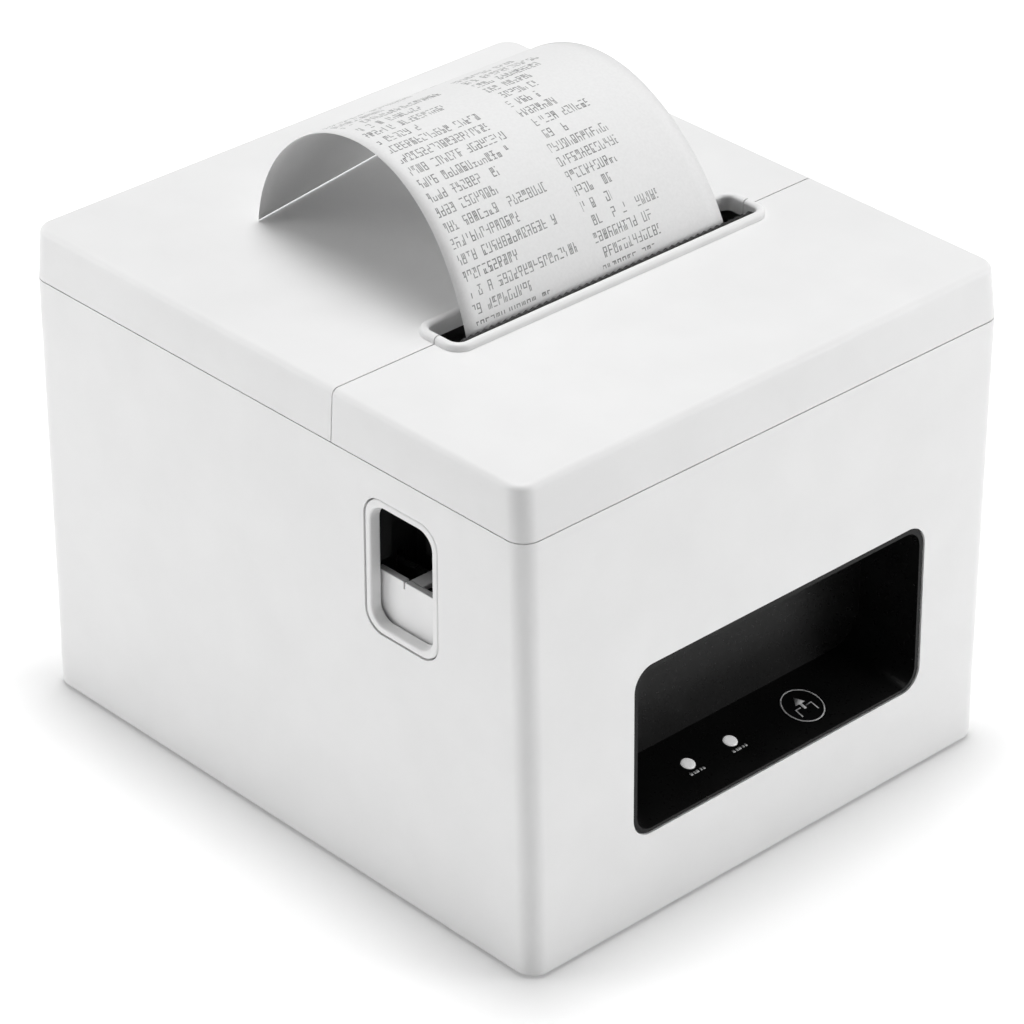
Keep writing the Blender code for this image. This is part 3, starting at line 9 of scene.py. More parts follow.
import bmesh
import bpy
from mathutils import Matrix, Vector
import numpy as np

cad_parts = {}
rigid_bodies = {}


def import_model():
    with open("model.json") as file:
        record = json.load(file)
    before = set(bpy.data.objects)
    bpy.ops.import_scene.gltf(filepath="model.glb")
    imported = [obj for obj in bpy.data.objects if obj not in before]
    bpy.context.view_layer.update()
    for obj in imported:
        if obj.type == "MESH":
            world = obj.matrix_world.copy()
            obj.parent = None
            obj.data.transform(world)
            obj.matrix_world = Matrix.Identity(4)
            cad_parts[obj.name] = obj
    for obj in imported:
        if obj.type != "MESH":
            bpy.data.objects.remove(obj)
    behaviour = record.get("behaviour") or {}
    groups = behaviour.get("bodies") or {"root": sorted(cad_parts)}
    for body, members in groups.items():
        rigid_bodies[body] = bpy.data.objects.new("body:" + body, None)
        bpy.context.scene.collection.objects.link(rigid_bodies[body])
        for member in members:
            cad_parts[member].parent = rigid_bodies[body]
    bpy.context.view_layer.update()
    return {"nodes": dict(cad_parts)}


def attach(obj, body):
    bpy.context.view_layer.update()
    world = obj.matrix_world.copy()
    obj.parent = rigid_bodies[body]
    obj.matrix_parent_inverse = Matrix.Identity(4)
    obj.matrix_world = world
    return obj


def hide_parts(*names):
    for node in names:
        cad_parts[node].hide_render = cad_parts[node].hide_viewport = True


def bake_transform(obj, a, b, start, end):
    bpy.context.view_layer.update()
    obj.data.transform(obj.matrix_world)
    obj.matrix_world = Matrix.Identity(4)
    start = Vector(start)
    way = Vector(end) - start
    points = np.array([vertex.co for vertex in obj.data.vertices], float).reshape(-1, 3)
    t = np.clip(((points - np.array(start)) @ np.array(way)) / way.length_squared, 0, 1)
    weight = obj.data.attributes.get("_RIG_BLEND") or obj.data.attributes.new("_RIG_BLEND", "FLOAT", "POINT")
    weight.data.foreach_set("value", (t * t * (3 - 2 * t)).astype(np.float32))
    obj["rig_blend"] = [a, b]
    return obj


for old in list(bpy.data.objects):
    bpy.data.objects.remove(old, do_unlink=True)
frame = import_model()
NODES = frame["nodes"]
MM = 0.001

# --- sizes, the same as in the CAD ------------------------------------------------------------------------
GAP = 0.3
FOOT_DROP, SEAM_Z, TOP_Z = 1.0, 109.8, 122.7
HALF_SEAM, HALF_BASE = 74.5, 72.5
FRONT_SEAM, FRONT_BASE, BACK = -80.2, -83.5, 80.6
CORNER_R, WALL, COVER_WALL = 4.7, 2.5, 2.4
COVER_SIDE_LEAN, COVER_FRONT_LEAN = 0.5, 1.7
TOP_FILLET = 1.6
SPLIT_Y = -21.3
COVER_BOTTOM = SEAM_Z + GAP
SLOT_X, SLOT_Y, SLOT_R = (-42.6, 51.0), (-26.5, -16.2), 2.2
RIM_WALL, RIM_TOP, RIM_ROUND = 2.1, TOP_Z + 1.7, 0.95
WINDOW_X, WINDOW_Z, WINDOW_R = (-41.7, 51.0), (22.6, 66.1), 5.5
BAY_LIP, BAY_BACK_Y, BAY_WALL = 1.1, -64.4, 1.5
BAY_FLOOR_FRONT, BAY_FLOOR_BACK = 23.7, 28.0
MOUTH_R, BACK_LOW_R = 4.6, 8.6
SIDE_Y, SIDE_Z, SIDE_R = (-54.5, -31.2), (68.1, 102.4), 5.5
BEZEL_RING, BEZEL_DEPTH, BEZEL_FLARE = 1.9, (0.1, 2.7), 0.7
LED_X, LED_Y, LED_R = (-14.6, -1.1), -72.8, 1.45
BUTTON_X, BUTTON_Y, BUTTON_R = 21.5, -73.7, 5.4
PAPER_X, PAPER_SHOWN_THICK, CUT_TOP = (-38.25, 41.25), 0.12, 110.8
RECEIPT_SHIFT = 3.1
LEFT_ARCH = ((-24.6, 123.2), (-7.1, 174.8), (43.1, 158.5), (47.1, 123.15))
RIGHT_ARCH = ((-24.5, 123.2), (-13.5, 144.2), (25.1, 172.7), (59.6, 123.15))
HINGE_Y, HINGE_Z, KNUCKLE_R, HINGE_BORE = 80.9, 110.0, 2.6, 1.15
HOUSING_KNUCKLE, COVER_KNUCKLE = (40.0, 52.0), (26.0, 39.6)
LEVER_X, LEVER_Y, LEVER_Z = (-70.6, -68.8), (-54.6, -31.4), (63.5, 82.0)
LEVER_PIVOT_Y = -42.0
NOTCH_Y, NOTCH_Z = (-40.4, -39.9), 80.2
TAB_THICK, TAB_REACH_X, TAB_FRONT = 1.2, -61.0, -44.4
FLANGE_X, FLANGE_THICK, FLANGE_Z = -65.5, 1.2, (72.0, 82.9)
PORT_Z = 9.0
PORTS = {"usb_port": (-31.0, 12.2, 11.2), "network_port": (-8.0, 16.0, 13.5),
         "cash_drawer_port": (17.0, 13.4, 12.8), "power_inlet": (-54.0, 13.0, 12.5)}   # middle, width, height
SWITCH_X, SWITCH_Z, SWITCH_W, SWITCH_H = 55.0, 45.0, 15.0, 21.0
BOSS_X, BOSS_YS, BOSS_Z, BOSS_R = 66.0, (-76.4, 73.4), (4.0, 20.0), 4.6
BOSS_HOLE_R, BOSS_HOLE_TOP = 1.7, 15.0
BOARD_TOPS = {"main_board": 7.8, "panel_board": 14.2}
ROLL_Y, ROLL_Z = 36.0, 45.3
KNUCKLE_FOOT_Z, KNUCKLE_POCKET_Z = 100.0, 106.2
TEAR_INSET, TEAR_FOOT, TEAR_TEETH = 1.7, 114.4, 44

PAST = 3.0                # how far a cutter reaches past the surfaces that it cuts
TRIM = 1.0                # extra height of a drafted shell before its edges are cut level
OVERLAP = 0.4             # how far a joined piece reaches into the one that it joins
BESIDE = (-100.0, 100.0)  # a span wider and deeper than the printer
WELD = 0.001              # distance under which two points are one
FLAT = 0.001              # angle in radians under which two faces are one
CURVE_STEPS = 12
FILLET_STEPS = 7
RIM_STEPS = 5
ROUND_STEPS = 56
SMALL_STEPS = 24
EDGE_ANGLE = 30.0         # an edge sharper than this stays sharp in the shading

# --- sizes that only the visual model has -----------------------------------------------------------------
PORT_CORNER, PORT_CORNER_STEPS = 0.6, 4
BAY_LEAD = 0.15           # share by which the bay's cutter runs out past its mouth
SHOWN_LED_R = LED_R + 0.25
LED_PLAY = 0.15
MARKS_AT = (0.3, -2.9)    # middle of an LED's marks, from the LED
CAD_EDGE, CAD_EDGE_STEPS = 0.12, 2
CAD_WELD = 0.0005


# --- node materials ---------------------------------------------------------------------------------------
class Look:
    """A procedural material under construction; each helper adds nodes and returns an output socket."""

    def __init__(self, name):
        self.material = bpy.data.materials.new("look_" + name)
        self.material.use_nodes = True
        self.tree = self.material.node_tree
        self.shader = self.tree.nodes["Principled BSDF"]

    def put(self, socket, value):
        if isinstance(value, bpy.types.NodeSocket):
            self.tree.links.new(value, socket)
        else:
            socket.default_value = value

    def add(self, kind, sockets, **settings):
        made = self.tree.nodes.new("ShaderNode" + kind)
        for key, value in settings.items():
            setattr(made, key, value)
        for key, value in sockets.items():
            self.put(made.inputs[key], value)
        return made.outputs

    def set(self, **values):
        for key, value in values.items():
            self.put(self.shader.inputs[key.replace("_", " ")], value)

    def space(self, stretch=(1.0, 1.0, 1.0)):
        where = self.add("TexCoord", {})["Object"]
        return self.add("Mapping", {"Vector": where, "Scale": stretch})["Vector"]

    def noise(self, vector, scale, detail=3.0):
        return self.add("TexNoise", {"Vector": vector, "Scale": scale, "Detail": detail})["Fac"]

    def spread(self, value, low, high, span=(0.3, 0.7)):
        sockets = {"Value": value, "From Min": span[0], "From Max": span[1], "To Min": low, "To Max": high}
        return self.add("MapRange", sockets)["Result"]

    def math(self, operation, first, second=0.0):
        return self.add("Math", {0: first, 1: second}, operation=operation)["Value"]

    def within(self, value, low, high):
        """1 where low < value < high, else 0."""
        above, below = self.math("GREATER_THAN", value, low), self.math("LESS_THAN", value, high)
        return self.math("MULTIPLY", above, below)

    def chance(self, first, second, seed):
        """Random number from 0 to 1 for each pair of whole numbers."""
        pair = self.add("CombineXYZ", {"X": first, "Y": second, "Z": seed})["Vector"]
        return self.add("TexWhiteNoise", {"Vector": pair}, noise_dimensions="3D")["Value"]

    def mix(self, share, first, second):
        made = self.tree.nodes.new("ShaderNodeMix")
        made.data_type = "RGBA"
        for index, value in ((0, share), (6, first), (7, second)):
            self.put(made.inputs[index], value)
        return made.outputs[2]

    def bump(self, height, relief):
        """Surface relief of this many millimetres."""
        sockets = {"Height": height, "Strength": 1.0, "Distance": relief * MM}
        self.set(Normal=self.add("Bump", sockets)["Normal"])


def grey(value, warmth=0.0):
    return (value * (1 + warmth), value, value * (1 - warmth), 1.0)


def moulded_look(name, dark, light, rough, spread=0.06, metal=0.0, blotch=45.0, grain=2600.0,
                 relief=0.004, stretch=(1.0, 1.0, 1.0), **shader):
    """Plastic, rubber or metal: clouded colour, fine grain in the roughness and the relief."""
    look = Look(name)
    where = look.space(stretch)
    cloud = look.noise(look.space(), blotch, 4.0)
    fine = look.noise(where, grain)
    look.set(Base_Color=look.mix(look.spread(cloud, 0.0, 1.0), dark, light), Metallic=metal,
             Roughness=look.spread(fine, rough - spread, rough + spread), **shader)
    look.bump(fine, relief)
    return look


def moulded(*values, **settings):
    """The material of a moulded_look with these values."""
    return moulded_look(*values, **settings).material


def board_look(name, top):
    """Circuit board: green lacquer with copper tracks under it; the parts that stand on it are black."""
    look = Look(name)
    where = look.space()
    height = look.add("SeparateXYZ", {"Vector": where})["Z"]
    part = look.math("GREATER_THAN", height, (top + 0.15) * MM)
    sockets = {"Vector": where, "Scale": 330.0, "Mortar Size": 0.06, "Brick Width": 1.4, "Row Height": 0.7}
    tracks = look.add("TexBrick", sockets)["Fac"]
    cloud = look.spread(look.noise(where, 500.0), 0.0, 1.0)
    green = look.mix(cloud, (0.010, 0.105, 0.045, 1.0), (0.016, 0.15, 0.062, 1.0))
    lacquer = look.mix(tracks, green, (0.035, 0.24, 0.09, 1.0))
    look.set(Base_Color=look.mix(part, lacquer, grey(0.025)), Roughness=look.spread(cloud, 0.3, 0.42))
    look.bump(tracks, 0.02)
    return look.material


ROW, CELL = 3.75, 1.55                # pitch of the printed rows and of the marks in a row
MARK_W, MARK_H, STROKE = 1.12, 2.35, 0.27
UPRIGHTS = ((0.0, 0.32), (MARK_W - STROKE, 0.42), ((MARK_W - STROKE) / 2, 0.74))     # place, share left out
LEVELS = ((0.0, 0.42), (MARK_H - STROKE, 0.4), ((MARK_H - STROKE) / 2, 0.5))
LEFT_LIST, RIGHT_LIST = 3.4, 42.0     # where the two columns of rows start, from the left edge
LEFT_END, RIGHT_END, TEXT_START = 104.0, 66.0, 1.5


def printed_look():
    """Thermal paper with rows of meaningless stroke marks in two columns, in millimetres of paper."""
    look = Look("printed_paper")
    place = look.add("SeparateXYZ", {"Vector": look.add("UVMap", {}, uv_map="print")["UV"]})
    across, along = place["X"], place["Y"]
    row_at = look.math("DIVIDE", along, ROW)
    cell_at = look.math("DIVIDE", across, CELL)
    row, cell = look.math("FLOOR", row_at), look.math("FLOOR", cell_at)
    up = look.math("MULTIPLY", look.math("FRACT", row_at), ROW)
    right = look.math("MULTIPLY", look.math("FRACT", cell_at), CELL)
    half = look.math("MULTIPLY", look.math("GREATER_THAN", up, MARK_H / 2), 0.5)
    half_cell = look.math("ADD", cell, half)
    strokes = []
    for seed, (start, left_out) in enumerate(UPRIGHTS):
        drawn = look.math("GREATER_THAN", look.chance(half_cell, row, 20.0 + seed), left_out)
        strokes.append(look.math("MULTIPLY", drawn, look.within(right, start, start + STROKE)))
    for seed, (start, left_out) in enumerate(LEVELS):
        drawn = look.math("GREATER_THAN", look.chance(cell, row, 30.0 + seed), left_out)
        strokes.append(look.math("MULTIPLY", drawn, look.within(up, start, start + STROKE)))
    mark = strokes[0]
    for stroke in strokes[1:]:
        mark = look.math("MAXIMUM", mark, stroke)
    inside = look.math("MULTIPLY", look.within(up, 0.0, MARK_H), look.within(right, 0.0, MARK_W))
    filled = look.math("GREATER_THAN", look.chance(cell, row, 11.0), 0.13)
    left_length = look.spread(look.chance(row, 5.0, 5.0), 12.0, 33.0, (0.0, 1.0))
    heading = look.math("MULTIPLY", look.math("GREATER_THAN", along, RIGHT_END), 9.0)
    left_length = look.math("ADD", left_length, heading)
    right_length = look.spread(look.chance(row, 9.0, 9.0), 9.0, 27.0, (0.0, 1.0))
    columns = []
    for start, length, end in ((LEFT_LIST, left_length, LEFT_END), (RIGHT_LIST, right_length, RIGHT_END)):
        columns.append(look.math("MULTIPLY", look.within(across, start, look.math("ADD", length, start)),
                                 look.within(along, TEXT_START, end)))
    ink = look.math("MULTIPLY", look.math("MULTIPLY", mark, inside), look.math("MULTIPLY", filled, 0.86))
    ink = look.math("MULTIPLY", ink, look.math("MAXIMUM", *columns))
    where = look.space()
    fibres = look.noise(where, 1400.0, 5.0)
    ink = look.math("MULTIPLY", ink, look.spread(look.noise(where, 240.0), 0.7, 1.0))
    sheet = look.mix(look.spread(fibres, 0.0, 1.0), grey(0.77), grey(0.81))
    look.set(Base_Color=look.mix(ink, sheet, grey(0.05)), Roughness=look.spread(fibres, 0.5, 0.62))
    look.bump(fibres, 0.006)
    return look.material


def roll_look():
    """Paper wound on a roll: the layers show as fine rings on its ends."""
    look = Look("wound_paper")
    where = look.add("Mapping", {"Vector": look.add("TexCoord", {})["Object"],
                                 "Location": (0.0, -ROLL_Y * MM, -ROLL_Z * MM),
                                 "Scale": (0.0, 1.0, 1.0)})["Vector"]
    radius = look.add("VectorMath", {0: where}, operation="LENGTH")["Value"]
    rings = look.math("SINE", look.math("MULTIPLY", radius, 9000.0))
    fibres = look.noise(look.space(), 900.0, 5.0)
    look.set(Base_Color=look.mix(look.spread(rings, 0.0, 0.5, (-1.0, 1.0)), grey(0.87), grey(0.72)),
             Roughness=look.spread(fibres, 0.55, 0.7))
    look.bump(look.math("ADD", look.math("MULTIPLY", rings, 0.3), fibres), 0.008)
    return look.material


BRUSHED = (1.0, 14.0, 14.0)
LOOKS = {
    "white_casing": moulded("white_casing", grey(0.832), grey(0.858), 0.44, spread=0.05, blotch=60.0),
    "black_gloss": moulded("black_gloss", grey(0.005), grey(0.008), 0.3, spread=0.04, blotch=90.0,
                           grain=900.0, relief=0.0006, Specular_IOR_Level=0.14),
    "black_plastic": moulded("black_plastic", grey(0.013), grey(0.02), 0.38, spread=0.1, relief=0.008),
    "steel": moulded("steel", grey(0.5), grey(0.6), 0.3, metal=1.0, grain=900.0, stretch=BRUSHED,
                     relief=0.002),
    "aluminium": moulded("aluminium", grey(0.66), grey(0.74), 0.36, metal=1.0, grain=1100.0, stretch=BRUSHED,
                         relief=0.003),
    "ceramic": moulded("ceramic", grey(0.58, 0.03), grey(0.64, 0.03), 0.25, relief=0.002),
    "black_rubber": moulded("black_rubber", grey(0.018), grey(0.028), 0.72, grain=1800.0, relief=0.015),
    "nylon": moulded("nylon", grey(0.68, 0.03), grey(0.75, 0.03), 0.45, grain=1500.0, relief=0.006),
    "thermal_paper": moulded("thermal_paper", grey(0.73), grey(0.78), 0.58, grain=1400.0, relief=0.006),
    "core_card": moulded("core_card", (0.33, 0.235, 0.145, 1.0), (0.42, 0.305, 0.19, 1.0), 0.8, blotch=300.0,
                         grain=1600.0, stretch=(6.0, 1.0, 1.0), relief=0.03),
    "circuit_board": board_look("main_board", BOARD_TOPS["main_board"]),
    # the lens emission is painted light: it makes the unlit LED lenses glow so they stay bright in the shaded
    # bay
    "lens": moulded("lens", grey(0.88), grey(0.93), 0.3, blotch=500.0, grain=3000.0, relief=0.002,
                    Emission_Color=grey(1.0), Emission_Strength=0.3),
}
PRINT_GREY = moulded("button_print", grey(0.6), grey(0.68), 0.4, blotch=700.0, relief=0.002)
CONTACT = moulded("contact_gold", (0.78, 0.52, 0.2, 1.0), (0.86, 0.6, 0.26, 1.0), 0.25, metal=1.0,
                  relief=0.002)


# --- shape helpers ----------------------------------------------------------------------------------------
def keep(name, mesh, origin=(0.0, 0.0, 0.0)):
    """Object for a mesh that is laid out in place; its origin goes to the given point."""
    base = Vector(origin) * MM
    mesh.transform(Matrix.Translation(-base))
    thing = bpy.data.objects.new(name, mesh)
    thing.location = base
    bpy.context.scene.collection.objects.link(thing)
    return thing


def keep_bmesh(name, work, **keys):
    bmesh.ops.recalc_face_normals(work, faces=work.faces)
    mesh = bpy.data.meshes.new(name)
    work.to_mesh(mesh)
    work.free()
    return keep(name, mesh, **keys)


def loft(name, rings, caps=(True, True), **keys):
    """Surface through equal-length rings of points, closed at the ends that have a cap."""
    work = bmesh.new()
    rows = [[work.verts.new(Vector(point) * MM) for point in ring] for ring in rings]
    for low, high in zip(rows, rows[1:]):
        for i in range(len(low)):
            j = (i + 1) % len(low)
            work.faces.new((low[i], low[j], high[j], high[i]))
    for row, capped in zip((rows[0], rows[-1]), caps):
        if capped:
            work.faces.new(row)
    return keep_bmesh(name, work, **keys)


def place(axis, u, v, w):
    """Point whose outline coordinates are (u, v) and whose distance along the axis is w."""
    return Vector({"X": (w, u, v), "Y": (u, w, v), "Z": (u, v, w)}[axis])


def standing(axis, u, v, middle):
    """Matrix that stands a shape drawn about the origin in X and Y along the axis, at (u, v)."""
    first, second = place(axis, 1, 0, 0), place(axis, 0, 1, 0)
    turn = Matrix((first, second, first.cross(second))).transposed().to_4x4()
    return Matrix.Translation(place(axis, u, v, middle) * MM) @ turn


def plate(name, outlines, matrix, thickness, **keys):
    """Flat outlines given a thickness about the plane of the matrix; an outline inside another is a hole."""
    curve = bpy.data.curves.new(name, "CURVE")
    curve.dimensions = "2D"
    curve.fill_mode = "BOTH"
    curve.extrude = thickness / 2 * MM
    for outline in outlines:
        spline = curve.splines.new("POLY")
        spline.points.add(len(outline) - 1)
        for target, (u, v) in zip(spline.points, outline):
            target.co = (u * MM, v * MM, 0.0, 1.0)
        spline.use_cyclic_u = True
    holder = bpy.data.objects.new("holder", curve)
    bpy.context.scene.collection.objects.link(holder)
    mesh = bpy.data.meshes.new_from_object(holder.evaluated_get(bpy.context.evaluated_depsgraph_get()))
    work = bmesh.new()
    work.from_mesh(mesh)
    bmesh.ops.remove_doubles(work, verts=work.verts, dist=WELD * MM)
    bmesh.ops.dissolve_limit(work, angle_limit=FLAT, verts=[], edges=work.edges)
    bmesh.ops.transform(work, matrix=matrix, verts=work.verts)
    bpy.data.objects.remove(holder, do_unlink=True)
    bpy.data.meshes.remove(mesh)
    bpy.data.curves.remove(curve)
    return keep_bmesh(name, work, **keys)


def prism(name, outline, axis, low, high, **keys):
    return plate(name, [outline], standing(axis, 0.0, 0.0, (low + high) / 2), high - low, **keys)


def box(name, xs, ys, zs, **keys):
    low, high = (Vector(corner) * MM for corner in zip(xs, ys, zs))
    matrix = Matrix.Translation((low + high) / 2) @ Matrix.Diagonal(high - low).to_4x4()
    work = bmesh.new()
    bmesh.ops.create_cube(work, size=1.0, matrix=matrix)
    return keep_bmesh(name, work, **keys)


def cylinder(name, matrix, radius, length, steps=ROUND_STEPS, **keys):
    work = bmesh.new()
    bmesh.ops.create_cone(work, cap_ends=True, segments=steps, radius1=radius * MM, radius2=radius * MM,
                          depth=length * MM, matrix=matrix)
    return keep_bmesh(name, work, **keys)


def rod(name, axis, centre, radius, low, high, **keys):
    return cylinder(name, standing(axis, *centre, (low + high) / 2), radius, high - low, **keys)


def lathe(name, profile, matrix, steps=ROUND_STEPS, **keys):
    """Solid of revolution about the matrix's Z; the (radius, height) profile starts and ends on the axis."""
    work = bmesh.new()
    rings = []
    for radius, height in profile:
        count = 1 if radius == 0.0 else steps
        angles = [2 * math.pi * i / steps for i in range(count)]
        points = [Vector((radius * math.cos(a), radius * math.sin(a), height)) for a in angles]
        rings.append([work.verts.new(matrix @ (point * MM)) for point in points])
    for low, high in zip(rings, rings[1:]):
        for i in range(steps):
            j = (i + 1) % steps
            corners = [low[i % len(low)], low[j % len(low)], high[j % len(high)], high[i % len(high)]]
            work.faces.new(list(dict.fromkeys(corners)))
    return keep_bmesh(name, work, **keys)


def circle(u, v, radius, steps=ROUND_STEPS):
    angles = [2 * math.pi * i / steps for i in range(steps)]
    return [(u + radius * math.cos(a), v + radius * math.sin(a)) for a in angles]


def rounded(u0, u1, v0, v1, radii, steps=CURVE_STEPS):
    """Rounded rectangle; radii is one number or four, from the low-low corner anticlockwise."""
    if isinstance(radii, (int, float)):
        radii = (radii,) * 4
    centres = ((u0, v0, 1, 1), (u1, v0, -1, 1), (u1, v1, -1, -1), (u0, v1, 1, -1))
    outline = []
    for k, (u, v, su, sv) in enumerate(centres):
        r = radii[k]
        for i in range(steps + 1):
            a = math.pi + (k + i / steps) * math.pi / 2
            outline.append((u + su * r + r * math.cos(a), v + sv * r + r * math.sin(a)))
    return outline


def shell(thing, thickness):
    wall = thing.modifiers.new("wall", "SOLIDIFY")
    wall.thickness = thickness * MM
    wall.offset = -1.0
    wall.use_even_offset = True


def round_level(thing, height, radius, steps):
    """Rounds the sharp edges of a piece that lie at one height."""
    work = bmesh.new()
    work.from_mesh(thing.data)
    weight = work.edges.layers.float.new("bevel_weight_edge")
    level = height * MM - thing.location.z
    for edge in work.edges:
        lies_there = all(abs(vert.co.z - level) < WELD * MM for vert in edge.verts)
        if lies_there and edge.calc_face_angle(0.0) > math.radians(EDGE_ANGLE):
            edge[weight] = 1.0
    work.to_mesh(thing.data)
    work.free()
    rounding = thing.modifiers.new("rounding", "BEVEL")
    rounding.limit_method = "WEIGHT"
    rounding.width = radius * MM
    rounding.segments = steps


def boolean(target, operation, operands):
    for operand in operands:
        step = target.modifiers.new(f"{operation.lower()}_{operand.name}", "BOOLEAN")
        step.operation = operation
        step.solver = "EXACT"
        step.object = operand


def cut(target, *operands):
    boolean(target, "DIFFERENCE", operands)


def join(target, *operands):
    boolean(target, "UNION", operands)


def settle(thing):
    """Makes the modifiers' result the mesh itself, and removes the pieces that only cut or were joined."""
    used = [step.object for step in thing.modifiers if step.type == "BOOLEAN"]
    depsgraph = bpy.context.evaluated_depsgraph_get()
    mesh = bpy.data.meshes.new_from_object(thing.evaluated_get(depsgraph))
    thing.modifiers.clear()
    thing.data = mesh
    for attribute in [a for a in mesh.attributes if a.name == "bevel_weight_edge"]:
        mesh.attributes.remove(attribute)
    for operand in used:
        bpy.data.objects.remove(operand, do_unlink=True)


def soften(thing, width, segments=3):
    """Fine rounding of every sharp edge, which is where a moulding catches the light."""
    edge = thing.modifiers.new("edges", "BEVEL")
    edge.limit_method = "ANGLE"
    edge.angle_limit = math.radians(EDGE_ANGLE)
    edge.width = width * MM
    edge.segments = segments
    edge.harden_normals = True


def ready(thing, body, slot, look=None, stands_for=(), edges=0.25):
    """Finished piece: its own mesh, soft edges, its material, and the body that it moves with."""
    settle(thing)
    mesh = thing.data
    mesh.materials.clear()
    mesh.materials.append(look or LOOKS[slot])
    mesh.polygons.foreach_set("use_smooth", [True] * len(mesh.polygons))
    if edges:
        soften(thing, edges)
    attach(thing, body)
    if stands_for:
        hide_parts(*stands_for)
    return thing


def climb(z):
    return (z - FOOT_DROP) / (SEAM_Z - FOOT_DROP)


def front_face_y(z):
    return FRONT_BASE + (FRONT_SEAM - FRONT_BASE) * climb(z)


def left_face_x(z):
    return -HALF_BASE - (HALF_SEAM - HALF_BASE) * climb(z)


def beside(sign, pair):
    return sorted(sign * x for x in pair)


def floor_z(y):
    """Height of the control panel's sloping floor."""
    front = front_face_y(BAY_FLOOR_FRONT)
    return BAY_FLOOR_FRONT + (BAY_FLOOR_BACK - BAY_FLOOR_FRONT) * (y - front) / (BAY_BACK_Y - front)


FLOOR_TILT = math.atan2(BAY_FLOOR_BACK - BAY_FLOOR_FRONT, BAY_BACK_Y - front_face_y(BAY_FLOOR_FRONT))


def on_floor(x, y, above=0.0):
    """Matrix of the sloping floor at (x, y), raised square to it."""
    return (Matrix.Translation(Vector((x, y, floor_z(y))) * MM) @ Matrix.Rotation(FLOOR_TILT, 4, "X")
            @ Matrix.Translation((0.0, 0.0, above * MM)))


# --- casing -----------------------------------------------------------------------------------------------
BACK_CUT = (BACK - WALL - PAST, BACK + PAST)
KNUCKLE_FOOT = [(BACK - 1.6, KNUCKLE_FOOT_Z), (BACK + 0.2, KNUCKLE_FOOT_Z),
                (HINGE_Y + KNUCKLE_R - 0.2, HINGE_Z - 1.4), (BACK - 1.6, HINGE_Z)]


def housing_ring(z):
    half = -left_face_x(z)
    return [(x, y, z) for x, y in rounded(-half, half, front_face_y(z), BACK, CORNER_R)]


def back_window(name, x, z, width, height):
    half_w, half_h = width / 2 + GAP, height / 2 + GAP
    outline = rounded(x - half_w, x + half_w, z - half_h, z + half_h, PORT_CORNER, PORT_CORNER_STEPS)
    return prism(name, outline, "Y", *BACK_CUT)


def hinge_rod(name, radius, near, far):
    return rod(name, "X", (HINGE_Y, HINGE_Z), radius, near, far)


housing = loft("casing_main", [housing_ring(FOOT_DROP - TRIM), housing_ring(SEAM_Z + TRIM)],
               caps=(False, False))
shell(housing, WALL)
cut(housing, box("trim_low", BESIDE, BESIDE, (FOOT_DROP - 2 * PAST, FOOT_DROP)),
    box("trim_high", BESIDE, BESIDE, (SEAM_Z, SEAM_Z + 2 * PAST)))
for i, centre in enumerate((sign * BOSS_X, y) for sign in (-1, 1) for y in BOSS_YS):
    join(housing, rod(f"boss_{i}", "Z", centre, BOSS_R, *BOSS_Z))
    cut(housing, rod(f"boss_hole_{i}", "Z", centre, BOSS_HOLE_R, BOSS_Z[0] - PAST, BOSS_HOLE_TOP,
                     steps=SMALL_STEPS))
cut(housing,
    prism("front_window", rounded(*WINDOW_X, *WINDOW_Z, WINDOW_R), "Y", FRONT_BASE - PAST,
          FRONT_SEAM + WALL + PAST),
    prism("side_window", rounded(*SIDE_Y, *SIDE_Z, SIDE_R), "X", -HALF_SEAM - PAST, -HALF_BASE + WALL + PAST),
    back_window("switch_window", SWITCH_X, SWITCH_Z, SWITCH_W, SWITCH_H))
for name, (x, width, height) in PORTS.items():
    cut(housing, back_window(f"{name}_window", x, PORT_Z + height / 2, width, height))
for side, sign in (("left", -1), ("right", 1)):
    near, far = beside(sign, HOUSING_KNUCKLE)
    join(housing, hinge_rod(f"knuckle_{side}", KNUCKLE_R, near, far),
         prism(f"knuckle_foot_{side}", KNUCKLE_FOOT, "X", near, far))
    cut(housing, hinge_rod(f"knuckle_bore_{side}", HINGE_BORE, near - PAST, far + PAST))
    near, far = beside(sign, COVER_KNUCKLE)
    cut(housing, box(f"knuckle_pocket_{side}", (near - GAP, far + GAP), BACK_CUT,
                     (KNUCKLE_POCKET_Z, SEAM_Z + PAST)))
ready(housing, "base", "white_casing", stands_for=["main_housing"], edges=0.28)


def cover_ring(z):
    rise = (z - COVER_BOTTOM) / (TOP_Z - COVER_BOTTOM)
    side = HALF_SEAM - COVER_SIDE_LEAN * rise
    front, rear = FRONT_SEAM + COVER_FRONT_LEAN * rise, BACK - COVER_SIDE_LEAN * rise
    return [(x, y, z) for x, y in rounded(-side, side, front, rear, CORNER_R)]


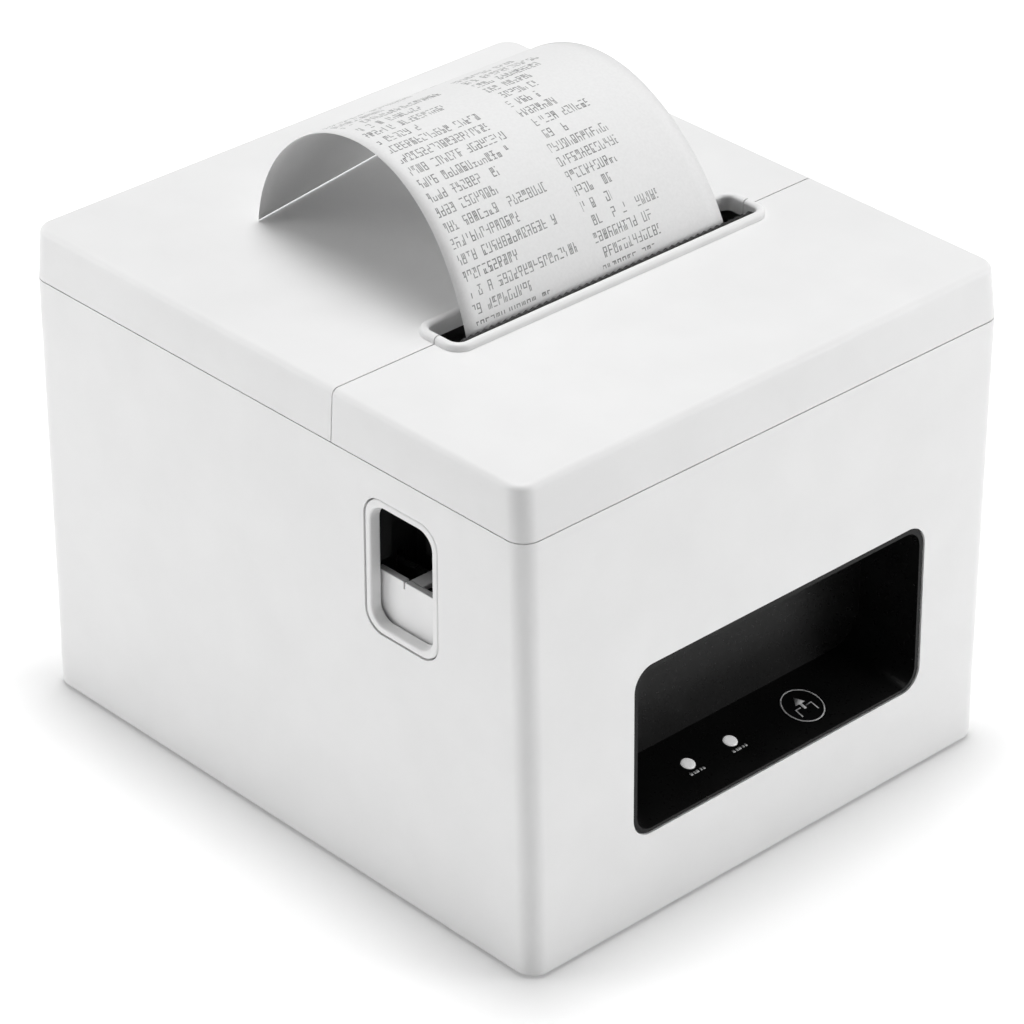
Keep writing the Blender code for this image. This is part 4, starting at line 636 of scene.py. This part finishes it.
def make_cover(name, removed_y):
    """One of the two covers: the whole lid shell with the other half cut away."""
    cover = loft(name, [cover_ring(COVER_BOTTOM - TRIM), cover_ring(TOP_Z)], caps=(False, True))
    shell(cover, COVER_WALL)
    round_level(cover, TOP_Z, TOP_FILLET, FILLET_STEPS)
    cut(cover, box(f"{name}_below", BESIDE, BESIDE, (COVER_BOTTOM - PAST, COVER_BOTTOM)))
    rim_outline = rounded(SLOT_X[0] - RIM_WALL, SLOT_X[1] + RIM_WALL,
                          SLOT_Y[0] - RIM_WALL, SLOT_Y[1] + RIM_WALL, SLOT_R + RIM_WALL)
    rim = prism(f"{name}_rim", rim_outline, "Z", TOP_Z - COVER_WALL + 0.4, RIM_TOP)
    join(cover, rim)
    slot = rounded(*SLOT_X, *SLOT_Y, SLOT_R)
    cut(cover, prism(f"{name}_slot", slot, "Z", COVER_BOTTOM, RIM_TOP + PAST))
    settle(cover)
    round_level(cover, RIM_TOP, RIM_ROUND, RIM_STEPS)
    cut(cover, box(f"{name}_other_half", BESIDE, removed_y, (COVER_BOTTOM - PAST, RIM_TOP + PAST)))
    return cover


front_cover = make_cover("casing_front_cover", (SPLIT_Y - GAP / 2, BACK + PAST))
ready(front_cover, "base", "white_casing", stands_for=["front_top_cover"], edges=0.2)
rear_cover = make_cover("casing_rear_cover", (FRONT_SEAM - PAST, SPLIT_Y + GAP / 2))
for side, sign in (("left", -1), ("right", 1)):
    near, far = beside(sign, HOUSING_KNUCKLE)
    cut(rear_cover, hinge_rod(f"cover_clearance_{side}", KNUCKLE_R + GAP + 0.2, near - GAP, far + GAP))
    near, far = beside(sign, COVER_KNUCKLE)
    join(rear_cover, hinge_rod(f"cover_knuckle_{side}", KNUCKLE_R, near, far))
    cut(rear_cover, hinge_rod(f"cover_bore_{side}", HINGE_BORE, near - PAST, far + PAST))
ready(rear_cover, "rear_cover", "white_casing", stands_for=["rear_cover"], edges=0.2)

# --- tear bar ---------------------------------------------------------------------------------------------
TEAR_X = (SLOT_X[0] + TEAR_INSET, SLOT_X[1] - TEAR_INSET)
TEAR_Y = (SLOT_Y[0] + 0.25, SLOT_Y[0] + 1.05)
TEAR_ROOT, TEAR_TIP = 123.8, 124.2    # just under the rim, where its black edge shows
tear_step = (TEAR_X[1] - TEAR_X[0]) / TEAR_TEETH
bar = [(TEAR_X[0], TEAR_FOOT), (TEAR_X[1], TEAR_FOOT)]
for k in range(TEAR_TEETH, 0, -1):
    x = TEAR_X[0] + k * tear_step
    bar += [(x, TEAR_ROOT), (x - tear_step / 2, TEAR_TIP)]
bar.append((TEAR_X[0], TEAR_ROOT))
ready(prism("tear_blade", bar, "Y", *TEAR_Y), "base", "black_plastic", stands_for=["tear_bar"], edges=0.0)

# --- head springs -----------------------------------------------------------------------------------------
SPRING_Y, SPRING_Z, SPRING_XS = (-33.7, -22.72), 93.0, (-20.0, 23.0)
SPRING_R, WIRE_R, SPRING_TURNS, COIL_STEPS, WIRE_STEPS = 2.4, 0.35, 4, 24, 10


def coil(name, x):
    """Compression spring between the frame and the print head; it shortens as the head swings back."""
    low, high = SPRING_Y
    count = SPRING_TURNS * COIL_STEPS
    rings = []
    for i in range(count + 1):
        a = 2 * math.pi * SPRING_TURNS * i / count
        outwards = Vector((math.cos(a), 0.0, math.sin(a)))
        centre = Vector((x, low + (high - low) * i / count, SPRING_Z)) + outwards * SPRING_R
        angles = [2 * math.pi * k / WIRE_STEPS for k in range(WIRE_STEPS)]
        rings.append([centre + (outwards * math.cos(t) + Vector((0.0, math.sin(t), 0.0))) * WIRE_R
                      for t in angles])
    return loft(name, rings)


for side, x in zip(("left", "right"), SPRING_XS):
    spring = coil(f"spring_{side}", x)
    spring.data.materials.append(LOOKS["steel"])
    spring.data.polygons.foreach_set("use_smooth", [True] * len(spring.data.polygons))
    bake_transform(spring, "base", "print_head", Vector((x, SPRING_Y[0], SPRING_Z)) * MM,
             Vector((x, SPRING_Y[1], SPRING_Z)) * MM)
    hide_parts(f"head_spring_{side}")

# --- control panel bay ------------------------------------------------------------------------------------
WINDOW_EDGE = (WINDOW_X[0] + GAP, WINDOW_X[1] - GAP, WINDOW_Z[0] + GAP, WINDOW_Z[1] - GAP)


def on_front(outline):
    return [(x, front_face_y(z) + GAP, z) for x, z in outline]


def bay_outline(grow, floor, low_r, top_r):
    """Outline of the bay inside its bright lip, grown by a wall where it is the outside."""
    return rounded(WINDOW_EDGE[0] + BAY_LIP - grow, WINDOW_EDGE[1] - BAY_LIP + grow, floor - grow,
                   WINDOW_EDGE[3] - BAY_LIP + grow * 0.8, (low_r, low_r, top_r, top_r))


rear_outline = bay_outline(BAY_WALL, BAY_FLOOR_BACK, BACK_LOW_R + 0.4, MOUTH_R + 0.4)
bay = loft("panel_insert", [on_front(rounded(*WINDOW_EDGE, WINDOW_R - GAP)),
                            [(x, BAY_BACK_Y + BAY_WALL, z) for x, z in rear_outline]])
mouth = on_front(bay_outline(0.0, BAY_FLOOR_FRONT, MOUTH_R, MOUTH_R))
back = [(x, BAY_BACK_Y, z) for x, z in bay_outline(0.0, BAY_FLOOR_BACK, BACK_LOW_R, MOUTH_R)]
lead = [Vector(near).lerp(Vector(far), -BAY_LEAD) for near, far in zip(mouth, back)]
cut(bay, loft("bay_inside", [lead, back]))
for name, x in zip(("power", "status"), LED_X):
    cut(bay, cylinder(f"{name}_hole", on_floor(x, LED_Y), SHOWN_LED_R + LED_PLAY, 2 * PAST))
cut(bay, cylinder("button_hole", on_floor(BUTTON_X, BUTTON_Y), BUTTON_R + 0.2, 2 * PAST))
ready(bay, "base", "black_gloss", stands_for=["control_panel_bay"], edges=0.22)

LENS_PROFILE = ((0.0, 0.15), (0.9, 0.14), (1.4, 0.09), (1.63, 0.0), (SHOWN_LED_R, -0.2), (SHOWN_LED_R, -6.5),
                (0.0, -6.5))
MARKS = ((-2.2, 0.75), (-1.2, 0.5), (-0.4, 0.9), (0.8, 0.55), (1.65, 0.6))    # centre and width of each dash
for name, x in zip(("power", "status"), LED_X):
    lens = lathe(f"{name}_lens", LENS_PROFILE, on_floor(x, LED_Y))
    ready(lens, "base", "lens", stands_for=[f"{name}_led_lens"], edges=0.0)
    dashes = [rounded(u - w / 2, u + w / 2, -0.4, 0.4, 0.12, 3) for u, w in MARKS]
    marks = plate(f"{name}_marks", dashes, on_floor(x + MARKS_AT[0], LED_Y + MARKS_AT[1], 0.02), 0.05)
    ready(marks, "base", "lens", PRINT_GREY, edges=0.0)

BUTTON_PROFILE = ((0.0, -0.06), (3.2, -0.06), (4.75, -0.02), (5.0, 0.0), (5.2, -0.02), (5.34, -0.12),
                  (BUTTON_R, -0.3), (BUTTON_R, -2.0), (1.6, -2.0), (1.6, -5.6), (0.0, -5.6))
BUTTON_AT = (BUTTON_X, BUTTON_Y, floor_z(BUTTON_Y))
button = lathe("button_cap", BUTTON_PROFILE, on_floor(BUTTON_X, BUTTON_Y), origin=BUTTON_AT)
ready(button, "feed_button", "black_gloss", stands_for=["feed_button"], edges=0.0)
ring = plate("button_ring", [circle(0, 0, 5.3), circle(0, 0, 4.95)], on_floor(BUTTON_X, BUTTON_Y, 0.0), 0.08,
             origin=BUTTON_AT)
ready(ring, "feed_button", "lens", PRINT_GREY, edges=0.0)
ARROW = [(-0.36, -1.1), (0.36, -1.1), (0.36, 0.7), (1.5, 0.7), (0.0, 3.0), (-1.5, 0.7), (-0.36, 0.7)]
BRACKET = [(0.95, -0.15), (0.95, -0.45), (2.45, -0.45), (2.45, -2.75), (2.75, -2.75), (2.75, -0.15)]
mirrored = [(-u, v) for u, v in reversed(BRACKET)]
symbol = plate("button_symbol", [ARROW, BRACKET, mirrored], on_floor(BUTTON_X, BUTTON_Y, -0.03), 0.06,
               origin=BUTTON_AT)
ready(symbol, "feed_button", "lens", PRINT_GREY, edges=0.0)


# --- side window and release lever ------------------------------------------------------------------------
def side_ring(inset, depth):
    outline = rounded(SIDE_Y[0] + inset, SIDE_Y[1] - inset, SIDE_Z[0] + inset, SIDE_Z[1] - inset,
                      SIDE_R - inset * 0.6)
    return [(left_face_x(z) + depth, y, z) for y, z in outline]


bezel = loft("side_window_ring", [side_ring(GAP, depth) for depth in BEZEL_DEPTH])
cut(bezel, loft("bezel_inside", [side_ring(BEZEL_RING, BEZEL_DEPTH[0] - 0.6),
                                 side_ring(BEZEL_RING + BEZEL_FLARE, BEZEL_DEPTH[1] + 0.5)]))
ready(bezel, "base", "white_casing", stands_for=["side_bezel"], edges=0.45)

lever = box("lever_plate", LEVER_X, LEVER_Y, LEVER_Z, origin=(LEVER_X[0], LEVER_PIVOT_Y, LEVER_Z[1]))
cut(lever, box("lever_notch", (LEVER_X[0] - PAST, LEVER_X[1] + PAST), NOTCH_Y, (NOTCH_Z, LEVER_Z[1] + PAST)))
join(lever,
     box("lever_tab", (LEVER_X[1] - OVERLAP, TAB_REACH_X), (TAB_FRONT, NOTCH_Y[0]),
         (LEVER_Z[1] - TAB_THICK, LEVER_Z[1])),
     box("lever_flange", (LEVER_X[1] - OVERLAP, FLANGE_X), (LEVER_Y[0], LEVER_Y[0] + FLANGE_THICK), FLANGE_Z))
ready(lever, "release_lever", "white_casing", stands_for=["release_lever"], edges=0.3)

# --- receipt ----------------------------------------------------------------------------------------------
ARCH_STEPS, ACROSS, STRAIGHT, FINE = 96, 20, 8, 800


def bezier(points, t):
    weights = ((1 - t) ** 3, 3 * t * (1 - t) ** 2, 3 * t * t * (1 - t), t ** 3)
    return sum((weight * Vector(point) for weight, point in zip(weights, points)), Vector((0.0, 0.0)))


def arch_line(points, root_y):
    """One edge of the receipt: straight up through the slot, then evenly spaced along its arch."""
    root_z = points[0][1]
    line = [Vector((root_y, CUT_TOP + (root_z - CUT_TOP) * i / STRAIGHT)) for i in range(STRAIGHT)]
    fine = [bezier(points, i / FINE) for i in range(FINE + 1)]
    run = [0.0]
    for a, b in zip(fine, fine[1:]):
        run.append(run[-1] + (b - a).length)
    k = 0
    for i in range(ARCH_STEPS + 1):
        want = run[-1] * i / ARCH_STEPS
        while k < FINE - 1 and run[k + 1] < want:
            k += 1
        line.append(fine[k].lerp(fine[k + 1], (want - run[k]) / (run[k + 1] - run[k])))
    return line, run[-1]


left_line, left_run = arch_line(LEFT_ARCH, LEFT_ARCH[0][0] + 0.1)
right_line, right_run = arch_line(RIGHT_ARCH, RIGHT_ARCH[0][0])
work = bmesh.new()
print_uv = work.loops.layers.uv.new("print")
rows = []
for i, (left, right) in enumerate(zip(left_line, right_line)):
    share_up = max(0, i - STRAIGHT) / ARCH_STEPS
    row = []
    for k in range(ACROSS + 1):
        share = k / ACROSS
        x = PAPER_X[0] + (PAPER_X[1] - PAPER_X[0]) * share + RECEIPT_SHIFT * share_up
        along = (left_run + (right_run - left_run) * share) * share_up - max(0, STRAIGHT - i) * 1.5
        vert = work.verts.new(Vector((x, *left.lerp(right, share))) * MM)
        row.append((vert, ((PAPER_X[1] - PAPER_X[0]) * share, along)))
    rows.append(row)
for row, following in zip(rows, rows[1:]):
    for k in range(ACROSS):
        corners = (row[k], row[k + 1], following[k + 1], following[k])
        face = work.faces.new([vert for vert, where in corners])
        for loop, (vert, where) in zip(face.loops, corners):
            loop[print_uv].uv = where
mesh = bpy.data.meshes.new("receipt_sheet")
work.to_mesh(mesh)
work.free()
receipt = keep("receipt_sheet", mesh)
sheet_wall = receipt.modifiers.new("thickness", "SOLIDIFY")
sheet_wall.thickness = PAPER_SHOWN_THICK * MM
sheet_wall.offset = 0.0
sheet_wall.material_offset = 1
sheet_wall.material_offset_rim = 1
mesh.materials.append(printed_look())
mesh.materials.append(LOOKS["thermal_paper"])
mesh.polygons.foreach_set("use_smooth", [True] * len(mesh.polygons))
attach(receipt, "rear_cover")
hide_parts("receipt")

# --- sockets at the back ----------------------------------------------------------------------------------
FACE_Y = BACK - 0.2


USB_PITCH, JACK_PITCH = 2.5, 1.02
SPRUNG_HALF = 0.2                       # half the width of a sprung contact wire
PIN_CIRCLE, PIN_R, PIN_STEPS = 2.3, 0.6, 20


def inside(name, xs, ys, zs, slot, look=None):
    ready(box(name, xs, ys, zs), "base", slot, look, edges=CAD_EDGE)


x, _, height = PORTS["usb_port"]
middle = PORT_Z + height / 2
inside("usb_tongue", (x - 2.8, x + 2.8), (FACE_Y - 12.6, FACE_Y - 3.0), (middle - 1.5, middle + 1.5), "nylon")
for i in range(4):
    side = -1 if i < 2 else 1
    at = x + (USB_PITCH / 2 if i % 2 else -USB_PITCH / 2)
    inside(f"usb_contact_{i}", (at - 0.5, at + 0.5), (FACE_Y - 11.0, FACE_Y - 3.6),
           sorted((middle + side * 1.45, middle + side * 1.62)), "steel", CONTACT)
for name, count, reach in (("network_port", 8, 10.0), ("cash_drawer_port", 6, 8.0)):
    x, _, height = PORTS[name]
    top = PORT_Z + height - 1.6
    for i in range(count):
        at = x + (i - (count - 1) / 2) * JACK_PITCH
        line = [(FACE_Y - 12.0, top), (FACE_Y - 12.0, top - 0.35), (FACE_Y - 4.4, top - 0.35),
                (FACE_Y - 4.0, top - 0.6), (FACE_Y - reach, top - 4.2), (FACE_Y - reach - 0.35, top - 4.0),
                (FACE_Y - 4.9, top - 0.75), (FACE_Y - 12.0, top - 0.72)]
        ready(prism(f"{name}_contact_{i}", line, "X", at - SPRUNG_HALF, at + SPRUNG_HALF), "base", "steel",
              CONTACT, edges=0.0)
x, _, height = PORTS["power_inlet"]
middle = PORT_Z + height / 2
for i, turn in enumerate((90.0, 210.0, 330.0)):
    a = math.radians(turn)
    centre = (x + PIN_CIRCLE * math.cos(a), middle + PIN_CIRCLE * math.sin(a))
    ready(rod(f"power_pin_{i}", "Y", centre, PIN_R, FACE_Y - 9.5, FACE_Y - 3.0, steps=PIN_STEPS), "base",
          "steel", edges=0.15)

# --- the CAD pieces that stay -----------------------------------------------------------------------------
smoothing = bpy.data.node_groups.new("smooth_shading", "GeometryNodeTree")
smoothing.interface.new_socket("Geometry", in_out="INPUT", socket_type="NodeSocketGeometry")
smoothing.interface.new_socket("Geometry", in_out="OUTPUT", socket_type="NodeSocketGeometry")
chain = [smoothing.nodes.new(kind) for kind in (
    "NodeGroupInput", "GeometryNodeRemoveAttribute", "GeometryNodeMergeByDistance",
    "GeometryNodeSetShadeSmooth", "GeometryNodeSetShadeSmooth", "NodeGroupOutput")]
chain[1].inputs["Name"].default_value = "custom_normal"
chain[2].inputs["Distance"].default_value = CAD_WELD * MM
chain[4].domain = "EDGE"
angle = smoothing.nodes.new("GeometryNodeInputMeshEdgeAngle")
shallow = smoothing.nodes.new("FunctionNodeCompare")
shallow.operation = "LESS_THAN"
shallow.inputs[1].default_value = math.radians(EDGE_ANGLE)
smoothing.links.new(angle.outputs["Unsigned Angle"], shallow.inputs[0])
smoothing.links.new(shallow.outputs[0], chain[4].inputs["Shade Smooth"])
for first, second in zip(chain, chain[1:]):
    smoothing.links.new(first.outputs[0], second.inputs[0])

panel_board_look = board_look("panel_board", BOARD_TOPS["panel_board"])
WOUND = roll_look()
for name, thing in NODES.items():
    slot = thing.material_slots[0].material.name.split(".")[0]
    thing.material_slots[0].material = LOOKS[slot]
    if thing.hide_render:
        continue
    shading = thing.modifiers.new("shading", "NODES")
    shading.node_group = smoothing
    soften(thing, CAD_EDGE, CAD_EDGE_STEPS)
NODES["panel_board"].material_slots[0].material = panel_board_look
NODES["paper_roll"].material_slots[0].material = WOUND

# --- floor, light and camera ------------------------------------------------------------------------------
GLOW_UNDER_PAINTED_SHADOW_AND_AWAY, PAINTED_SHADOW_REACH = (0.06, 0.26), 20.0    # floor glow in the painted contact shadow at the printer and away from it; distance over which the painted shadow fades
FLOOR_HALF = 3.0                         # metres
floor_work = bmesh.new()
bmesh.ops.create_grid(floor_work, x_segments=8, y_segments=8, size=FLOOR_HALF)
floor = keep_bmesh("floor", floor_work)


def floor_look_with_painted_shadow():
    """Pale floor that glows faintly, but less right beside the printer: a painted contact shadow round the
    base.
    """
    look = moulded_look("floor", grey(0.95), grey(0.97), 0.8, blotch=3.0, grain=400.0, relief=0.01,
                        Emission_Color=grey(1.0))
    place = look.add("SeparateXYZ", {"Vector": look.space()})
    gaps = []
    for axis, half in (("X", HALF_BASE), ("Y", -FRONT_BASE)):
        past = look.math("SUBTRACT", look.math("ABSOLUTE", place[axis]), half * MM)
        gaps.append(look.math("POWER", look.math("MAXIMUM", past, 0.0), 2.0))
    away = look.math("SQRT", look.math("ADD", *gaps))
    # less glow close to the base paints a contact shadow on the floor
    look.set(Emission_Strength=look.spread(away, *GLOW_UNDER_PAINTED_SHADOW_AND_AWAY, (0.0, PAINTED_SHADOW_REACH * MM)))
    return look.material


floor.data.materials.append(floor_look_with_painted_shadow())

SKY_LIGHT, SKY_DARK, DARK_SIDE = 0.31, 0.04, (-0.71, -0.70, 0.0)    # the studio is dimmer on one side
world = bpy.data.worlds.new("studio")
bpy.context.scene.world = world
world.use_nodes = True
sky, links = world.node_tree.nodes, world.node_tree.links
heading = sky.new("ShaderNodeTexCoord")
facing = sky.new("ShaderNodeVectorMath")
facing.operation = "DOT_PRODUCT"
facing.inputs[1].default_value = DARK_SIDE
dimmed = sky.new("ShaderNodeMapRange")
for key, value in (("From Min", 0.0), ("From Max", 1.0), ("To Min", SKY_LIGHT), ("To Max", SKY_DARK)):
    dimmed.inputs[key].default_value = value
links.new(heading.outputs["Generated"], facing.inputs[0])
links.new(facing.outputs["Value"], dimmed.inputs["Value"])
links.new(dimmed.outputs["Result"], sky["Background"].inputs["Strength"])
sky["Background"].inputs["Color"].default_value = (1.0, 1.0, 1.0, 1.0)


AIM = Vector((0.0, 0.0, 0.07))          # the middle of the printer
LIGHT_AWAY = 1.3
LENS, SENSOR, CLIP = 163.47, 36.0, (0.05, 20.0)
CAMERA_AT = (-0.6412, -0.6614, 0.6070)
AXES = ((0.72357473, -0.69011039, 0.01368409), (0.34723451, 0.38106302, 0.8568659),
        (-0.59654656, -0.61525493, 0.51535772))    # the camera's right, up and backwards


def softbox(name, direction, size, power):
    """Square area light that looks at the middle of the printer."""
    light = bpy.data.lights.new(name, "AREA")
    light.shape = "SQUARE"
    light.size = size
    light.energy = power
    lamp = bpy.data.objects.new(name, light)
    outwards = Vector(direction).normalized()
    lamp.location = AIM + outwards * LIGHT_AWAY
    lamp.rotation_mode = "QUATERNION"
    lamp.rotation_quaternion = (-outwards).to_track_quat("-Z", "Y")
    bpy.context.scene.collection.objects.link(lamp)


softbox("top_light", (0.1, 0.1, 1.0), 0.8, 12.5)
softbox("left_light", (-1.0, 0.9, 0.3), 0.7, 5.4)
softbox("front_light", (0.9, -1.0, 0.3), 0.7, 6.0)

camera = bpy.data.objects.new("camera", bpy.data.cameras.new("camera"))
camera.data.lens = LENS
camera.data.sensor_width = SENSOR
camera.data.clip_start, camera.data.clip_end = CLIP
camera.matrix_world = Matrix.Translation(CAMERA_AT) @ Matrix(AXES).transposed().to_4x4()
bpy.context.scene.collection.objects.link(camera)
bpy.context.scene.camera = camera
bpy.context.scene.view_settings.view_transform = "Standard"
